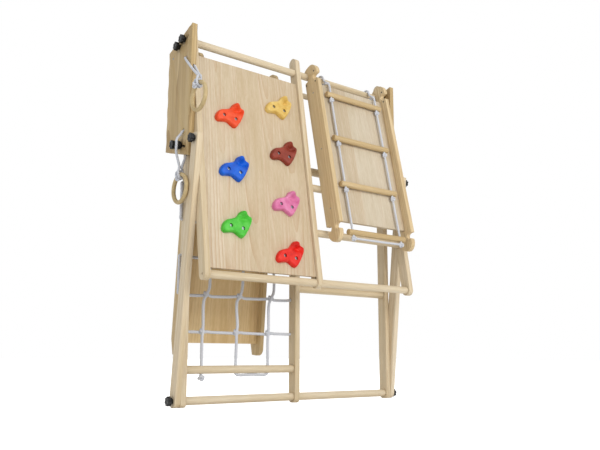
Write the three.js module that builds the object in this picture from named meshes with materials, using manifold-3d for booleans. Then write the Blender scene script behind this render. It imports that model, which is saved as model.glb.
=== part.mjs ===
// Folding toddler climber with slide, ramp, rope ladder, net and rings, folded up and standing.
// Millimetres, +Z up, +X along the rungs to the right, -Y towards the climbing side.
import * as THREE from "three";
import Module from "manifold-3d";
import { mergeVertices } from "three/addons/utils/BufferGeometryUtils.js";

const wasm = await Module();
wasm.setup();

// Frame sizes
const bayPitch = 500;
const timberThickness = 22;
const timberDepth = 45;
const dowelDiameter = 30;
const barDiameter = 25;
const legLength = 935;
const pivotSpacing = 428;
const legAngle = THREE.MathUtils.degToRad(16);
const foldAngle = THREE.MathUtils.degToRad(9.3);
const baseBarAngle = THREE.MathUtils.degToRad(6.4);
const lockSpacing = 47;
const footHeight = timberDepth / 2;
const footCornerRadius = 16;
const layerGap = 0.6;
const fitGap = 0.3;
const seatDepth = 14;
const cutOverrun = 4;

// Facets of round pieces
const dowelSides = 16;
const studSides = 8;
const ropeSides = 8;
const netSides = 6;

// Star knobs and their studs
const knobRadius = 17.5;
const knobLobeDepth = 1.9;
const knobHeadHeight = 13;
const knobHubRadius = 11;
const knobHubHeight = 7;
const knobEdge = 1.6;
const knobLobes = 7;
const studDiameter = 8;
const studReach = 34;
const parkedReach = 6;
const slotClearance = 0.7;

// Side boards
const boardThickness = 22;
const boardLongEdge = 60;
const boardShortEdge = 134;
const boardEndMargin = 30;
const waveHeight = 4;
const waveCount = 5;
const waveSteps = 6;
const slotForward = 34;
const slotBackward = 4;
const barInset = 97;
const barEndOffset = 42;
const ropeHoleAlong = 78;
const ropeHoleLower = 57;
const ropeHoleForward = 14;
const reliefWall = 8;
const ropeEyeRadius = 8;
const strandInset = 2.4;
const strandClearance = 1.2;

// Ropes
const ropeDiameter = 9;
const ropeHoleClearance = 0.4;
const knotRadius = 9;
const netDowelHeight = 131;
const netRowCount = 5;
const netColumnCount = 3;
const netColumnPitch = 146;
const netLinkReach = 7;
const netRowBack = 12.5;
const knotLength = 11;

// Climbing panel and holds
const panelThickness = 12;
const panelRecess = 12;
const panelTop = 60;
const holdWidth = 118;
const holdHeight = 100;
const holdDepth = 30;
const holdEdge = 9;
const holdBoltSpacing = 46;
const holdBoltDrop = 14;
const holdBoltRadius = 6;
const holdLeftColumn = 124;
const holdRightColumn = 363;

// Ladder rungs fixed in the front leaf, measured down from its top dowel
const leafRungUpper = 530;
const leafRungLower = 727;
const rearRungDrop = 506;

// Hooked side rails of the ramp and the slide
const hookedDepth = 82;
const hookedBack = 10;
const rampWidth = 424;
const rampShift = 20;
const slideWidth = 388;
const slideShift = 24;
const rampThickness = 20;
const slideThickness = 15;
const rampLength = 782;
const slideLength = 1193;
const headHeight = 38;
const notchDepth = 16;
const notchHeight = 27;
const frontNotchDrop = 26;
const backNotchRun = 14;
const backNotchLip = 30;
const footNotchRise = 62;
const hookGap = 0.6;
const pinHoleDiameter = 6;
const rampPanelTop = 46;
const rampPanelEnd = 92;
const grooveDepth = 6;
const slidePanelEnd = 48;
const slideChamferRun = 20;
const slideChamferRise = 60;
const slideToeRadius = 30;

// Rope ladder
const ladderRungDiameter = 25;
const ladderRungLength = 316;
const ladderFirstDrop = 98;
const ladderPitch = 214;
const ladderRungCount = 4;
const ladderOffset = 5;
const ladderRopeInset = 24;
const ladderStandoff = 0.6;
const ladderWrapGap = 2.6;
const ladderNooseDrop = 36;
const ladderNooseForward = 44;
const ladderKnotGap = 3;

// Wooden rings
const ringDiameter = 120;
const ringBar = 16;
const upperRingForward = 122;
const upperRingOut = 8;
const upperRingDrop = 268;
const lowerRingForward = 20;
const lowerRingDrop = 170;
const hitchGap = 1.4;
const hitchClearance = 3;
const hitchSpread = 4.2;

// Screws
const screwRadius = 4;

const dowelRadius = dowelDiameter / 2;
const barRadius = barDiameter / 2;
const halfBay = bayPitch / 2;
const rampMiddle = halfBay + rampShift;
const slideMiddle = halfBay - slideShift;
const innerFace = bayPitch - timberThickness / 2;
const outerFace = bayPitch + timberThickness / 2;
const boardInnerFace = outerFace + layerGap;
const boardOuterFace = boardInnerFace + boardThickness;
const baseBarLength = pivotSpacing + 2 * legLength * Math.sin(legAngle);
const rearPivotHeight = footHeight + legLength;
const frontPivotHeight = rearPivotHeight + pivotSpacing;

const pine = { color: 0xe3c79d, roughness: 0.62, metalness: 0 };
const pineEdge = { color: 0xdcbd8f, roughness: 0.65, metalness: 0 };
const rope = { color: 0xe9e8e4, roughness: 0.9, metalness: 0 };
const blackPlastic = { color: 0x141414, roughness: 0.5, metalness: 0 };

const object = new THREE.Group();

// How far a slanted board end lies beyond its pivot, measured up the board
function endRiseOf(margin) {
  return margin / Math.cos(legAngle);
}

// Turns a profile drawn in Y and Z, extruded along X, into place
function sideProfile(shape, thickness, startX, steps = 4) {
  const geometry = new THREE.ExtrudeGeometry(shape, {
    depth: thickness,
    bevelEnabled: false,
    curveSegments: steps,
  });
  const turned = new THREE.Matrix4().makeBasis(
    new THREE.Vector3(0, 1, 0),
    new THREE.Vector3(0, 0, 1),
    new THREE.Vector3(1, 0, 0),
  );
  geometry.applyMatrix4(turned);
  geometry.translate(startX, 0, 0);
  return geometry;
}

// Radius of a faceted bore that clears a round piece all the way round
function boreRadius(radius, gap, sides) {
  return (radius + gap) / Math.cos(Math.PI / sides);
}

function rodAlongX(radius, fromX, toX, y, z, sides = dowelSides) {
  const geometry = new THREE.CylinderGeometry(radius, radius, toX - fromX, sides);
  geometry.rotateZ(Math.PI / 2);
  geometry.translate((fromX + toX) / 2, y, z);
  return geometry;
}

function rodAlongY(radius, fromY, toY, x, z, sides = studSides) {
  const geometry = new THREE.CylinderGeometry(radius, radius, toY - fromY, sides);
  geometry.translate(x, (fromY + toY) / 2, z);
  return geometry;
}

function rodAlongZ(radius, x, y, fromZ, toZ, sides = ropeSides) {
  const geometry = new THREE.CylinderGeometry(radius, radius, toZ - fromZ, sides);
  geometry.rotateX(Math.PI / 2);
  geometry.translate(x, y, (fromZ + toZ) / 2);
  return geometry;
}

function block(width, depth, height, x, y, z) {
  const geometry = new THREE.BoxGeometry(width, depth, height);
  geometry.translate(x, y, z);
  return geometry;
}

function solidOf(geometry) {
  const bare = geometry.clone();
  bare.deleteAttribute("normal");
  bare.deleteAttribute("uv");
  const merged = mergeVertices(bare, 1e-4);
  return new wasm.Manifold(new wasm.Mesh({
    numProp: 3,
    vertProperties: new Float32Array(merged.attributes.position.array),
    triVerts: new Uint32Array(merged.index.array),
  }));
}

function geometryOf(solid) {
  const mesh = solid.getMesh();
  const geometry = new THREE.BufferGeometry();
  geometry.setAttribute("position", new THREE.BufferAttribute(new Float32Array(mesh.vertProperties), 3));
  geometry.setIndex(new THREE.BufferAttribute(new Uint32Array(mesh.triVerts), 1));
  const faceted = geometry.toNonIndexed();
  faceted.computeVertexNormals();
  return faceted;
}

function cut(geometry, tools) {
  let solid = solidOf(geometry);
  for (const tool of tools) {
    solid = solid.subtract(solidOf(tool));
  }
  return geometryOf(solid);
}

function join(geometries) {
  let solid = solidOf(geometries[0]);
  for (const geometry of geometries.slice(1)) {
    solid = solid.add(solidOf(geometry));
  }
  return geometryOf(solid);
}

function addMesh(parent, name, geometry, look) {
  const mesh = new THREE.Mesh(geometry, new THREE.MeshStandardMaterial(look));
  mesh.name = name;
  parent.add(mesh);
  return mesh;
}

// Straight timber with rounded ends, its middle line from bottomZ to topZ
function timberShape(bottomZ, topZ, bottomRadius, topRadius) {
  const half = timberDepth / 2;
  const shape = new THREE.Shape();
  shape.moveTo(half, topZ - topRadius);
  shape.absarc(half - topRadius, topZ - topRadius, topRadius, 0, Math.PI / 2, false);
  shape.absarc(topRadius - half, topZ - topRadius, topRadius, Math.PI / 2, Math.PI, false);
  shape.absarc(bottomRadius - half, bottomZ + bottomRadius, bottomRadius, Math.PI, Math.PI * 1.5, false);
  shape.absarc(half - bottomRadius, bottomZ + bottomRadius, bottomRadius, Math.PI * 1.5, Math.PI * 2, false);
  shape.closePath();
  return shape;
}

// Blind seat for a dowel end in an outer timber, opening towards the middle of the frame
function dowelSeat(side, y, z, radius = dowelRadius) {
  const open = side * (innerFace - cutOverrun);
  const closed = side * (innerFace + seatDepth);
  return rodAlongX(boreRadius(radius, fitGap, dowelSides), Math.min(open, closed), Math.max(open, closed), y, z);
}

function throughBore(x, y, z, radius) {
  const half = timberThickness / 2 + cutOverrun;
  return rodAlongX(boreRadius(radius, fitGap, dowelSides), x - half, x + half, y, z);
}

function studBore(side, y, z) {
  const inner = side * (innerFace - cutOverrun);
  const outer = side * (outerFace + cutOverrun);
  const radius = boreRadius(studDiameter / 2, fitGap, studSides);
  return rodAlongX(radius, Math.min(inner, outer), Math.max(inner, outer), y, z, studSides);
}

// Blind seat in one face of a middle post or rail
function middleSeat(face, z) {
  const half = seatDepth / 2;
  return rodAlongX(boreRadius(dowelRadius, fitGap, dowelSides), face - half, face + half, 0, z);
}

// Rear frame: three posts that stand on the floor
const rearFrame = new THREE.Group();
object.add(rearFrame);
const rearPostTop = rearPivotHeight + lockSpacing + timberDepth / 2;
const rearRungHeight = rearPivotHeight - rearRungDrop;
const netRise = rearPivotHeight - netDowelHeight;
const netRowPitch = netRise / (netRowCount + 1);

function netRowHeight(row) {
  return netDowelHeight + netRowPitch * (row + 1);
}

function netColumnPlace(column) {
  return -halfBay + netColumnPitch * (column - (netColumnCount - 1) / 2);
}

function netHoles(x) {
  const holes = [];
  for (let row = 0; row < netRowCount; row += 1) {
    const half = timberThickness / 2 + cutOverrun;
    const radius = boreRadius(ropeDiameter / 2, ropeHoleClearance, ropeSides);
    holes.push(rodAlongX(radius, x - half, x + half, netRowBack, netRowHeight(row), ropeSides));
  }
  return holes;
}

function rearPost(side, name) {
  const x = side * bayPitch;
  const shape = timberShape(0, rearPostTop, footCornerRadius, timberDepth / 2);
  const plain = sideProfile(shape, timberThickness, x - timberThickness / 2);
  const tools = [];
  if (side === 0) {
    tools.push(throughBore(x, 0, footHeight, dowelRadius));
    tools.push(throughBore(x, 0, rearPivotHeight, dowelRadius));
    tools.push(middleSeat(x - timberThickness / 2, netDowelHeight));
    tools.push(middleSeat(x + timberThickness / 2, rearRungHeight));
  } else {
    tools.push(dowelSeat(side, 0, footHeight));
    tools.push(dowelSeat(side, 0, rearPivotHeight));
    tools.push(dowelSeat(side, 0, side < 0 ? netDowelHeight : rearRungHeight));
    tools.push(studBore(side, 0, footHeight));
    tools.push(studBore(side, 0, rearPivotHeight));
    tools.push(studBore(side, 0, rearPivotHeight + lockSpacing));
  }
  if (side <= 0) {
    tools.push(...netHoles(x));
  }
  addMesh(rearFrame, name, cut(plain, tools), pine);
}

function endBored(geometry, reach, y, z) {
  const depth = studReach + fitGap - (outerFace - reach);
  const tools = [];
  for (const side of [-1, 1]) {
    const outer = side * (reach + cutOverrun);
    const inner = side * (reach - depth);
    const radius = boreRadius(studDiameter / 2, fitGap, studSides);
    tools.push(rodAlongX(radius, Math.min(outer, inner), Math.max(outer, inner), y, z, studSides));
  }
  return cut(geometry, tools);
}

function boredDowelAcross(parent, name, y, z, extraTools = []) {
  const reach = innerFace + seatDepth - fitGap;
  const bored = endBored(rodAlongX(dowelRadius, -reach, reach, y, z), reach, y, z);
  const geometry = extraTools.length > 0 ? cut(bored, extraTools) : bored;
  addMesh(parent, name, geometry, pine);
}

function netColumnHoles(z) {
  const holes = [];
  for (let column = 0; column < netColumnCount; column += 1) {
    const radius = boreRadius(ropeDiameter / 2, ropeHoleClearance, ropeSides);
    holes.push(rodAlongZ(radius, netColumnPlace(column), 0, z - dowelDiameter, z + dowelDiameter));
  }
  return holes;
}

rearPost(-1, "rear_post_left");
rearPost(0, "rear_post_middle");
rearPost(1, "rear_post_right");
boredDowelAcross(rearFrame, "rear_dowel_top", 0, rearPivotHeight, netColumnHoles(rearPivotHeight));
boredDowelAcross(rearFrame, "rear_dowel_bottom", 0, footHeight);

function netDowel() {
  const left = -(innerFace + seatDepth - fitGap);
  const right = -timberThickness / 2 + seatDepth / 2 - fitGap;
  const plain = rodAlongX(dowelRadius, left, right, 0, netDowelHeight);
  addMesh(rearFrame, "net_dowel", cut(plain, netColumnHoles(netDowelHeight)), pine);
}

function rearRung() {
  const left = timberThickness / 2 - seatDepth / 2 + fitGap;
  const right = innerFace + seatDepth - fitGap;
  addMesh(rearFrame, "rear_rung", rodAlongX(dowelRadius, left, right, 0, rearRungHeight), pine);
}

netDowel();
rearRung();

// A tube of even section along a list of points
function ropeTube(points, steps, diameter = ropeDiameter, tension = 0.5) {
  const curve = new THREE.CatmullRomCurve3(points, false, "centripetal", tension);
  const circle = new THREE.Shape();
  circle.absarc(0, 0, diameter / 2, 0, Math.PI * 2, false);
  return new THREE.ExtrudeGeometry(circle, {
    steps,
    extrudePath: curve,
    curveSegments: ropeSides / 2,
    bevelEnabled: false,
  });
}

function knot(x, y, z, alongX = knotRadius, alongZ = knotRadius) {
  const geometry = new THREE.SphereGeometry(knotRadius, netSides, netSides / 2);
  geometry.scale(alongX / knotRadius, 1, alongZ / knotRadius);
  geometry.translate(x, y, z);
  return geometry;
}

function ropeBend(x, y, z) {
  const geometry = new THREE.SphereGeometry(ropeDiameter / 2, netSides, netSides / 2);
  geometry.translate(x, y, z);
  return geometry;
}

// Net: one rope runs to and fro through the posts, another up and down through the dowels
function climbingNet() {
  const pieces = [];
  const leftLink = -outerFace - netLinkReach;
  const rightLink = timberThickness / 2 + netLinkReach;
  const radius = ropeDiameter / 2;
  for (let row = 0; row < netRowCount; row += 1) {
    pieces.push(rodAlongX(radius, leftLink, rightLink, netRowBack, netRowHeight(row), netSides));
  }
  for (let row = 0; row + 1 < netRowCount; row += 1) {
    const x = row % 2 === 0 ? rightLink : leftLink;
    pieces.push(rodAlongZ(radius, x, netRowBack, netRowHeight(row), netRowHeight(row + 1), netSides));
    for (const z of [netRowHeight(row), netRowHeight(row + 1)]) {
      pieces.push(ropeBend(x, netRowBack, z));
    }
  }
  const stopReach = knotLength / 2;
  pieces.push(knot(-outerFace - layerGap - stopReach, netRowBack, netRowHeight(0), stopReach));
  pieces.push(knot(timberThickness / 2 + layerGap + stopReach, netRowBack, netRowHeight(netRowCount - 1), stopReach));
  const low = netDowelHeight - dowelRadius - radius - layerGap;
  const high = rearPivotHeight + dowelRadius + radius + layerGap;
  for (let column = 0; column < netColumnCount; column += 1) {
    const x = netColumnPlace(column);
    pieces.push(rodAlongZ(radius, x, 0, low, high, netSides));
    for (let row = 0; row < netRowCount; row += 1) {
      pieces.push(knot(x, netRowBack / 2, netRowHeight(row)));
    }
  }
  pieces.push(knot(netColumnPlace(0), 0, netDowelHeight - dowelRadius - layerGap - knotRadius));
  pieces.push(knot(netColumnPlace(netColumnCount - 1), 0, rearPivotHeight + dowelRadius + layerGap + knotRadius));
  for (let column = 0; column + 1 < netColumnCount; column += 1) {
    const z = column % 2 === 0 ? high : low;
    pieces.push(rodAlongX(radius, netColumnPlace(column), netColumnPlace(column + 1), 0, z, netSides));
    for (const x of [netColumnPlace(column), netColumnPlace(column + 1)]) {
      pieces.push(ropeBend(x, 0, z));
    }
  }
  addMesh(rearFrame, "climbing_net", join(pieces), rope);
}

climbingNet();

// Base bars, swung up beside the folded frame, ahead of the side boards
function baseBar(side, name) {
  const group = new THREE.Group();
  group.position.set(0, 0, footHeight);
  group.rotation.x = baseBarAngle;
  object.add(group);
  const half = timberDepth / 2;
  const shape = timberShape(-half, baseBarLength + half, half, footCornerRadius / 4);
  const inner = side < 0 ? -boardOuterFace : boardInnerFace;
  const plain = sideProfile(shape, boardThickness, inner);
  const tools = [];
  for (const z of [0, baseBarLength]) {
    const radius = boreRadius(studDiameter / 2, slotClearance, studSides);
    tools.push(rodAlongX(radius, inner - cutOverrun, inner + boardThickness + cutOverrun, 0, z, studSides));
  }
  addMesh(group, name, cut(plain, tools), pineEdge);
  return group;
}

const baseBarLeft = baseBar(-1, "base_bar_left");
const baseBarRight = baseBar(1, "base_bar_right");

// Star knob with its moulded-in stud, pressing on the outer face of a board or bar
function starKnob(parent, name, side, faceX, y, z, reach) {
  const outline = new THREE.Shape();
  const points = knobLobes * 2;
  for (let index = 0; index < points; index += 1) {
    const angle = (index / points) * Math.PI * 2;
    const edge = knobRadius - knobEdge - knobLobeDepth * (1 - Math.cos(angle * knobLobes)) / 2;
    const place = [Math.cos(angle) * edge, Math.sin(angle) * edge];
    if (index === 0) {
      outline.moveTo(...place);
    } else {
      outline.lineTo(...place);
    }
  }
  outline.closePath();
  const head = new THREE.ExtrudeGeometry(outline, {
    depth: knobHeadHeight - 2 * knobEdge,
    bevelThickness: knobEdge,
    bevelSize: knobEdge,
    bevelSegments: 1,
    curveSegments: 1,
  });
  head.translate(0, 0, knobHubHeight + knobEdge);
  const hub = new THREE.CylinderGeometry(knobHubRadius, knobHubRadius, knobHubHeight + knobEdge, studSides);
  hub.rotateX(Math.PI / 2);
  hub.translate(0, 0, (knobHubHeight + knobEdge) / 2);
  const stud = new THREE.CylinderGeometry(studDiameter / 2, studDiameter / 2, reach + knobHubHeight, studSides);
  stud.rotateX(Math.PI / 2);
  stud.translate(0, 0, (knobHubHeight - reach) / 2);
  const geometry = join([head, hub, stud]);
  geometry.rotateY(side * Math.PI / 2);
  geometry.translate(side * (faceX + fitGap), y, z);
  addMesh(parent, name, geometry, blackPlastic);
}

const clampReach = boardThickness + layerGap + fitGap + studReach;
const parkedStudReach = boardThickness + fitGap - parkedReach;
for (const [side, bar, label] of [[-1, baseBarLeft, "left"], [1, baseBarRight, "right"]]) {
  starKnob(object, `foot_knob_${label}`, side, boardOuterFace, 0, footHeight, clampReach);
  starKnob(bar, `bar_end_knob_${label}`, side, boardOuterFace, 0, baseBarLength, parkedStudReach);
}

// Side boards: trapezoids whose slanted ends lie along the legs when the climber is set up
const boards = new THREE.Group();
boards.position.set(0, 0, rearPivotHeight);
object.add(boards);
const slotSlope = Math.tan(legAngle);
const endRise = endRiseOf(boardEndMargin);

function boardOutline() {
  const frontTop = pivotSpacing + endRise + boardLongEdge * slotSlope;
  const backTop = pivotSpacing + endRise - boardShortEdge * slotSlope;
  const frontBottom = -endRise - boardLongEdge * slotSlope;
  const backBottom = -endRise + boardShortEdge * slotSlope;
  const shape = new THREE.Shape();
  shape.moveTo(-boardLongEdge, frontBottom);
  shape.lineTo(boardShortEdge, backBottom);
  const steps = waveCount * waveSteps;
  for (let index = 1; index < steps; index += 1) {
    const share = index / steps;
    const swell = waveHeight * (1 - Math.cos(share * waveCount * Math.PI * 2)) / 2;
    shape.lineTo(boardShortEdge - swell, backBottom + (backTop - backBottom) * share);
  }
  shape.lineTo(boardShortEdge, backTop);
  shape.lineTo(-boardLongEdge, frontTop);
  shape.closePath();
  return shape;
}

// Slot along a slanted end, from ahead of the pivot stud to the parked lock stud
function slotTool(inner, pivotZ, slope) {
  const radius = studDiameter / 2 + slotClearance;
  const shape = new THREE.Shape();
  const turn = Math.atan(slope);
  const from = -slotForward + radius;
  const to = lockSpacing + slotBackward;
  shape.absarc(from * Math.cos(turn), pivotZ + from * Math.sin(turn), radius,
    turn + Math.PI / 2, turn + Math.PI * 1.5, false);
  shape.absarc(to * Math.cos(turn), pivotZ + to * Math.sin(turn), radius,
    turn - Math.PI / 2, turn + Math.PI / 2, false);
  shape.closePath();
  return sideProfile(shape, boardThickness + 2 * cutOverrun, inner - cutOverrun, 4);
}

// Channel on the inner face that takes the rope strand between board and leg
function reliefTool(side, inner, fromY, fromZ, toY, toZ) {
  const width = ropeDiameter + 2 * ropeHoleClearance;
  const length = Math.hypot(toY - fromY, toZ - fromZ);
  const depth = boardThickness - reliefWall + cutOverrun;
  const geometry = new THREE.BoxGeometry(depth, width, length);
  geometry.rotateX(-Math.atan2(toY - fromY, toZ - fromZ));
  const face = side < 0 ? inner + boardThickness : inner;
  const middle = face - side * (cutOverrun - depth / 2);
  geometry.translate(middle, (fromY + toY) / 2, (fromZ + toZ) / 2);
  return geometry;
}

const upperHoleZ = pivotSpacing - ropeHoleAlong;
const lowerHoleZ = ropeHoleLower;
const upperHoleY = -ropeHoleForward;
const lowerHoleY = -ropeHoleForward;
const ringTop = ringDiameter / 2 - ringBar / 2;
const hitchRadius = (ringBar + ropeDiameter) / 2 + hitchGap;
const upperKnotRise = ringTop + hitchRadius + knotLength;
const ropeSlope = (upperRingDrop - upperKnotRise - ropeHoleAlong) / (upperRingForward - ropeHoleForward);
const upperReliefRun = boardLongEdge + ropeDiameter - ropeHoleForward;
const upperReliefDrop = upperReliefRun * ropeSlope;

function sideBoard(side, name) {
  const inner = side < 0 ? -boardOuterFace : boardInnerFace;
  const plain = sideProfile(boardOutline(), boardThickness, inner);
  const tools = [slotTool(inner, 0, slotSlope), slotTool(inner, pivotSpacing, -slotSlope)];
  for (const [y, z] of [[upperHoleY, upperHoleZ], [lowerHoleY, lowerHoleZ]]) {
    tools.push(rodAlongX(ropeEyeRadius, inner - cutOverrun, inner + boardThickness + cutOverrun, y, z));
  }
  if (side < 0) {
    tools.push(reliefTool(side, inner, upperHoleY, upperHoleZ,
      upperHoleY - upperReliefRun, upperHoleZ - upperReliefDrop));
    tools.push(reliefTool(side, inner, lowerHoleY, lowerHoleZ, lowerHoleY, -boardLongEdge));
  }
  for (const z of [barEndOffset, pivotSpacing - barEndOffset]) {
    const radius = boreRadius(screwRadius, fitGap, studSides);
    tools.push(rodAlongX(radius, inner - cutOverrun, inner + boardThickness + cutOverrun, barInset, z, studSides));
  }
  addMesh(boards, name, cut(plain, tools), pineEdge);
}

sideBoard(-1, "side_board_left");
sideBoard(1, "side_board_right");

// Round bar between the boards, with the screws that come in through each board
function crossBar(name, z) {
  const reach = boardInnerFace - fitGap;
  const tip = boardOuterFace - fitGap;
  addMesh(boards, name, join([
    rodAlongX(barRadius, -reach, reach, barInset, z),
    rodAlongX(screwRadius, -tip, tip, barInset, z, studSides),
  ]), pine);
}

crossBar("cross_bar_upper", pivotSpacing - barEndOffset);
crossBar("cross_bar_lower", barEndOffset);
const lockAlong = lockSpacing * Math.cos(legAngle);
const lockRise = lockSpacing * Math.sin(legAngle);
for (const [side, label] of [[-1, "left"], [1, "right"]]) {
  starKnob(boards, `rear_pivot_knob_${label}`, side, boardOuterFace, 0, 0, clampReach);
  starKnob(boards, `rear_lock_knob_${label}`, side, boardOuterFace, lockAlong, lockRise, parkedStudReach);
  starKnob(boards, `front_lock_knob_${label}`, side, boardOuterFace, lockAlong, pivotSpacing - lockRise,
    parkedStudReach);
  starKnob(boards, `front_pivot_knob_${label}`, side, boardOuterFace, 0, pivotSpacing, clampReach);
}

// Front leaf, hung from the boards' upper pivots; its own origin is the top dowel
const leaf = new THREE.Group();
leaf.position.set(0, 0, frontPivotHeight);
leaf.rotation.x = -foldAngle;
object.add(leaf);

function leafRail(side, name) {
  const x = side * bayPitch;
  const half = timberDepth / 2;
  const shape = timberShape(-legLength - half, lockSpacing + half, half, half);
  const plain = sideProfile(shape, timberThickness, x - timberThickness / 2);
  const tools = [];
  if (side === 0) {
    tools.push(throughBore(x, 0, 0, dowelRadius));
    tools.push(throughBore(x, 0, -legLength, dowelRadius));
    for (const drop of [leafRungUpper, leafRungLower]) {
      tools.push(middleSeat(x + timberThickness / 2, -drop));
    }
  } else {
    tools.push(dowelSeat(side, 0, 0));
    tools.push(dowelSeat(side, 0, -legLength));
    for (const z of [lockSpacing, 0, -legLength]) {
      tools.push(studBore(side, 0, z));
    }
    if (side > 0) {
      tools.push(dowelSeat(side, 0, -leafRungUpper));
      tools.push(dowelSeat(side, 0, -leafRungLower));
    }
  }
  if (side <= 0) {
    tools.push(panelGroove(side));
  }
  addMesh(leaf, name, cut(plain, tools), pine);
}

const panelFront = -timberDepth / 2 + panelRecess;
const panelBottomDrop = legLength - dowelRadius - fitGap;

// Groove that holds one long edge of the climbing panel
function panelGroove(side) {
  const face = side < 0 ? -innerFace : -timberThickness / 2;
  const width = 2 * (grooveDepth + fitGap);
  const height = panelBottomDrop - panelTop + 2 * fitGap;
  return block(width, panelThickness + 2 * fitGap, height, face,
    panelFront + panelThickness / 2, -(panelTop + panelBottomDrop) / 2);
}

function climbingPanel() {
  const left = -innerFace - grooveDepth;
  const right = -timberThickness / 2 + grooveDepth;
  const plain = block(right - left, panelThickness, panelBottomDrop - panelTop, (left + right) / 2,
    panelFront + panelThickness / 2, -(panelTop + panelBottomDrop) / 2);
  const tools = [];
  for (const hold of holds) {
    for (const side of [-1, 1]) {
      const x = hold.x + side * holdBoltSpacing / 2;
      const radius = boreRadius(screwRadius, fitGap, studSides);
      tools.push(rodAlongY(radius, panelFront - cutOverrun, panelFront + panelThickness + cutOverrun,
        x, -hold.drop - holdBoltDrop));
    }
  }
  addMesh(leaf, "climbing_panel", cut(plain, tools), pine);
}

// Drop of a hold below the leaf's top dowel, from its share of the panel's height
function holdDrop(share) {
  return panelTop + (panelBottomDrop - panelTop) * share;
}

const holds = [
  { name: "hold_orange", x: holdLeftColumn - innerFace, drop: holdDrop(0.28), turn: 0.1, color: 0xf2512a },
  { name: "hold_blue", x: holdLeftColumn - innerFace, drop: holdDrop(0.541), turn: 0.15, color: 0x1d5fc4 },
  { name: "hold_green", x: holdLeftColumn - innerFace, drop: holdDrop(0.801), turn: 0.1, color: 0x3bd04a },
  { name: "hold_yellow", x: holdRightColumn - innerFace, drop: holdDrop(0.166), turn: 0.05, color: 0xf5c04e },
  { name: "hold_brown", x: holdRightColumn - innerFace, drop: holdDrop(0.411), turn: 0.1, color: 0x86372c },
  { name: "hold_pink", x: holdRightColumn - innerFace, drop: holdDrop(0.663), turn: 0.1, color: 0xee6fb0 },
  { name: "hold_red", x: holdRightColumn - innerFace, drop: holdDrop(0.908), turn: 0.05, color: 0xe6201c },
];

leafRail(-1, "leaf_rail_left");
leafRail(0, "leaf_rail_middle");
leafRail(1, "leaf_rail_right");
boredDowelAcross(leaf, "leaf_dowel_top", 0, 0);
boredDowelAcross(leaf, "leaf_dowel_bottom", 0, -legLength);

function leafRung(name, drop) {
  const left = timberThickness / 2 - seatDepth / 2 + fitGap;
  const right = innerFace + seatDepth - fitGap;
  addMesh(leaf, name, rodAlongX(dowelRadius, left, right, 0, -drop), pine);
}

leafRung("leaf_rung_upper", leafRungUpper);
leafRung("leaf_rung_lower", leafRungLower);
climbingPanel();

// Climbing hold: three soft lobes with a raised top one and a scooped middle
const holdSideSwell = 0.2;
const holdTopShare = 0.16;
const holdPoints = 15;
const scoopShare = 0.72;

function holdRadiusShare(angle) {
  const lobes = 1 + holdSideSwell * Math.cos(3 * (angle - Math.PI / 2));
  return lobes + holdTopShare * Math.max(0, Math.sin(angle)) ** 4;
}

function climbingHold(hold) {
  const outline = new THREE.Shape();
  const halfWidth = holdWidth / 2 - holdEdge;
  const halfHeight = holdHeight / 2 - holdEdge;
  for (let index = 0; index < holdPoints; index += 1) {
    const angle = (index / holdPoints) * Math.PI * 2;
    const reach = holdRadiusShare(angle) / (1 + holdSideSwell);
    const place = [Math.cos(angle) * halfWidth * reach * 1.1, Math.sin(angle) * halfHeight * reach];
    if (index === 0) {
      outline.moveTo(...place);
    } else {
      outline.lineTo(...place);
    }
  }
  outline.closePath();
  const body = new THREE.ExtrudeGeometry(outline, {
    depth: holdDepth - 2 * holdEdge,
    bevelThickness: holdEdge,
    bevelSize: holdEdge,
    bevelSegments: 1,
    curveSegments: 1,
  });
  body.translate(0, 0, holdEdge);
  body.rotateX(Math.PI / 2);
  body.rotateY(hold.turn);
  const scoop = new THREE.SphereGeometry(holdWidth * scoopShare / 2, studSides, netSides);
  scoop.scale(1, 0.6, 0.6);
  scoop.translate(0, -holdDepth - holdEdge, holdHeight * 0.1);
  const tools = [scoop];
  for (const side of [-1, 1]) {
    tools.push(rodAlongY(holdBoltRadius + fitGap, -holdDepth - cutOverrun, -holdDepth / 2,
      side * holdBoltSpacing / 2, -holdBoltDrop));
  }
  const geometry = join([cut(body, tools), ...holdBolts()]);
  geometry.translate(hold.x, panelFront - fitGap, -hold.drop);
  addMesh(leaf, hold.name, geometry, { color: hold.color, roughness: 0.38, metalness: 0 });
}

// The two bolts of a hold: head sunk in the hold, shank through the panel, nut behind it
function holdBolts() {
  const pieces = [];
  const nutFace = panelThickness + 2 * fitGap;
  for (const side of [-1, 1]) {
    const x = side * holdBoltSpacing / 2;
    pieces.push(rodAlongY(holdBoltRadius, -holdDepth / 2 - screwRadius, fitGap - holdDepth / 2, x, -holdBoltDrop));
    pieces.push(rodAlongY(screwRadius, -holdDepth / 2, nutFace + screwRadius, x, -holdBoltDrop));
    pieces.push(rodAlongY(holdBoltRadius, nutFace, nutFace + screwRadius, x, -holdBoltDrop, 6));
  }
  return pieces;
}

for (const hold of holds) {
  climbingHold(hold);
}

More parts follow.
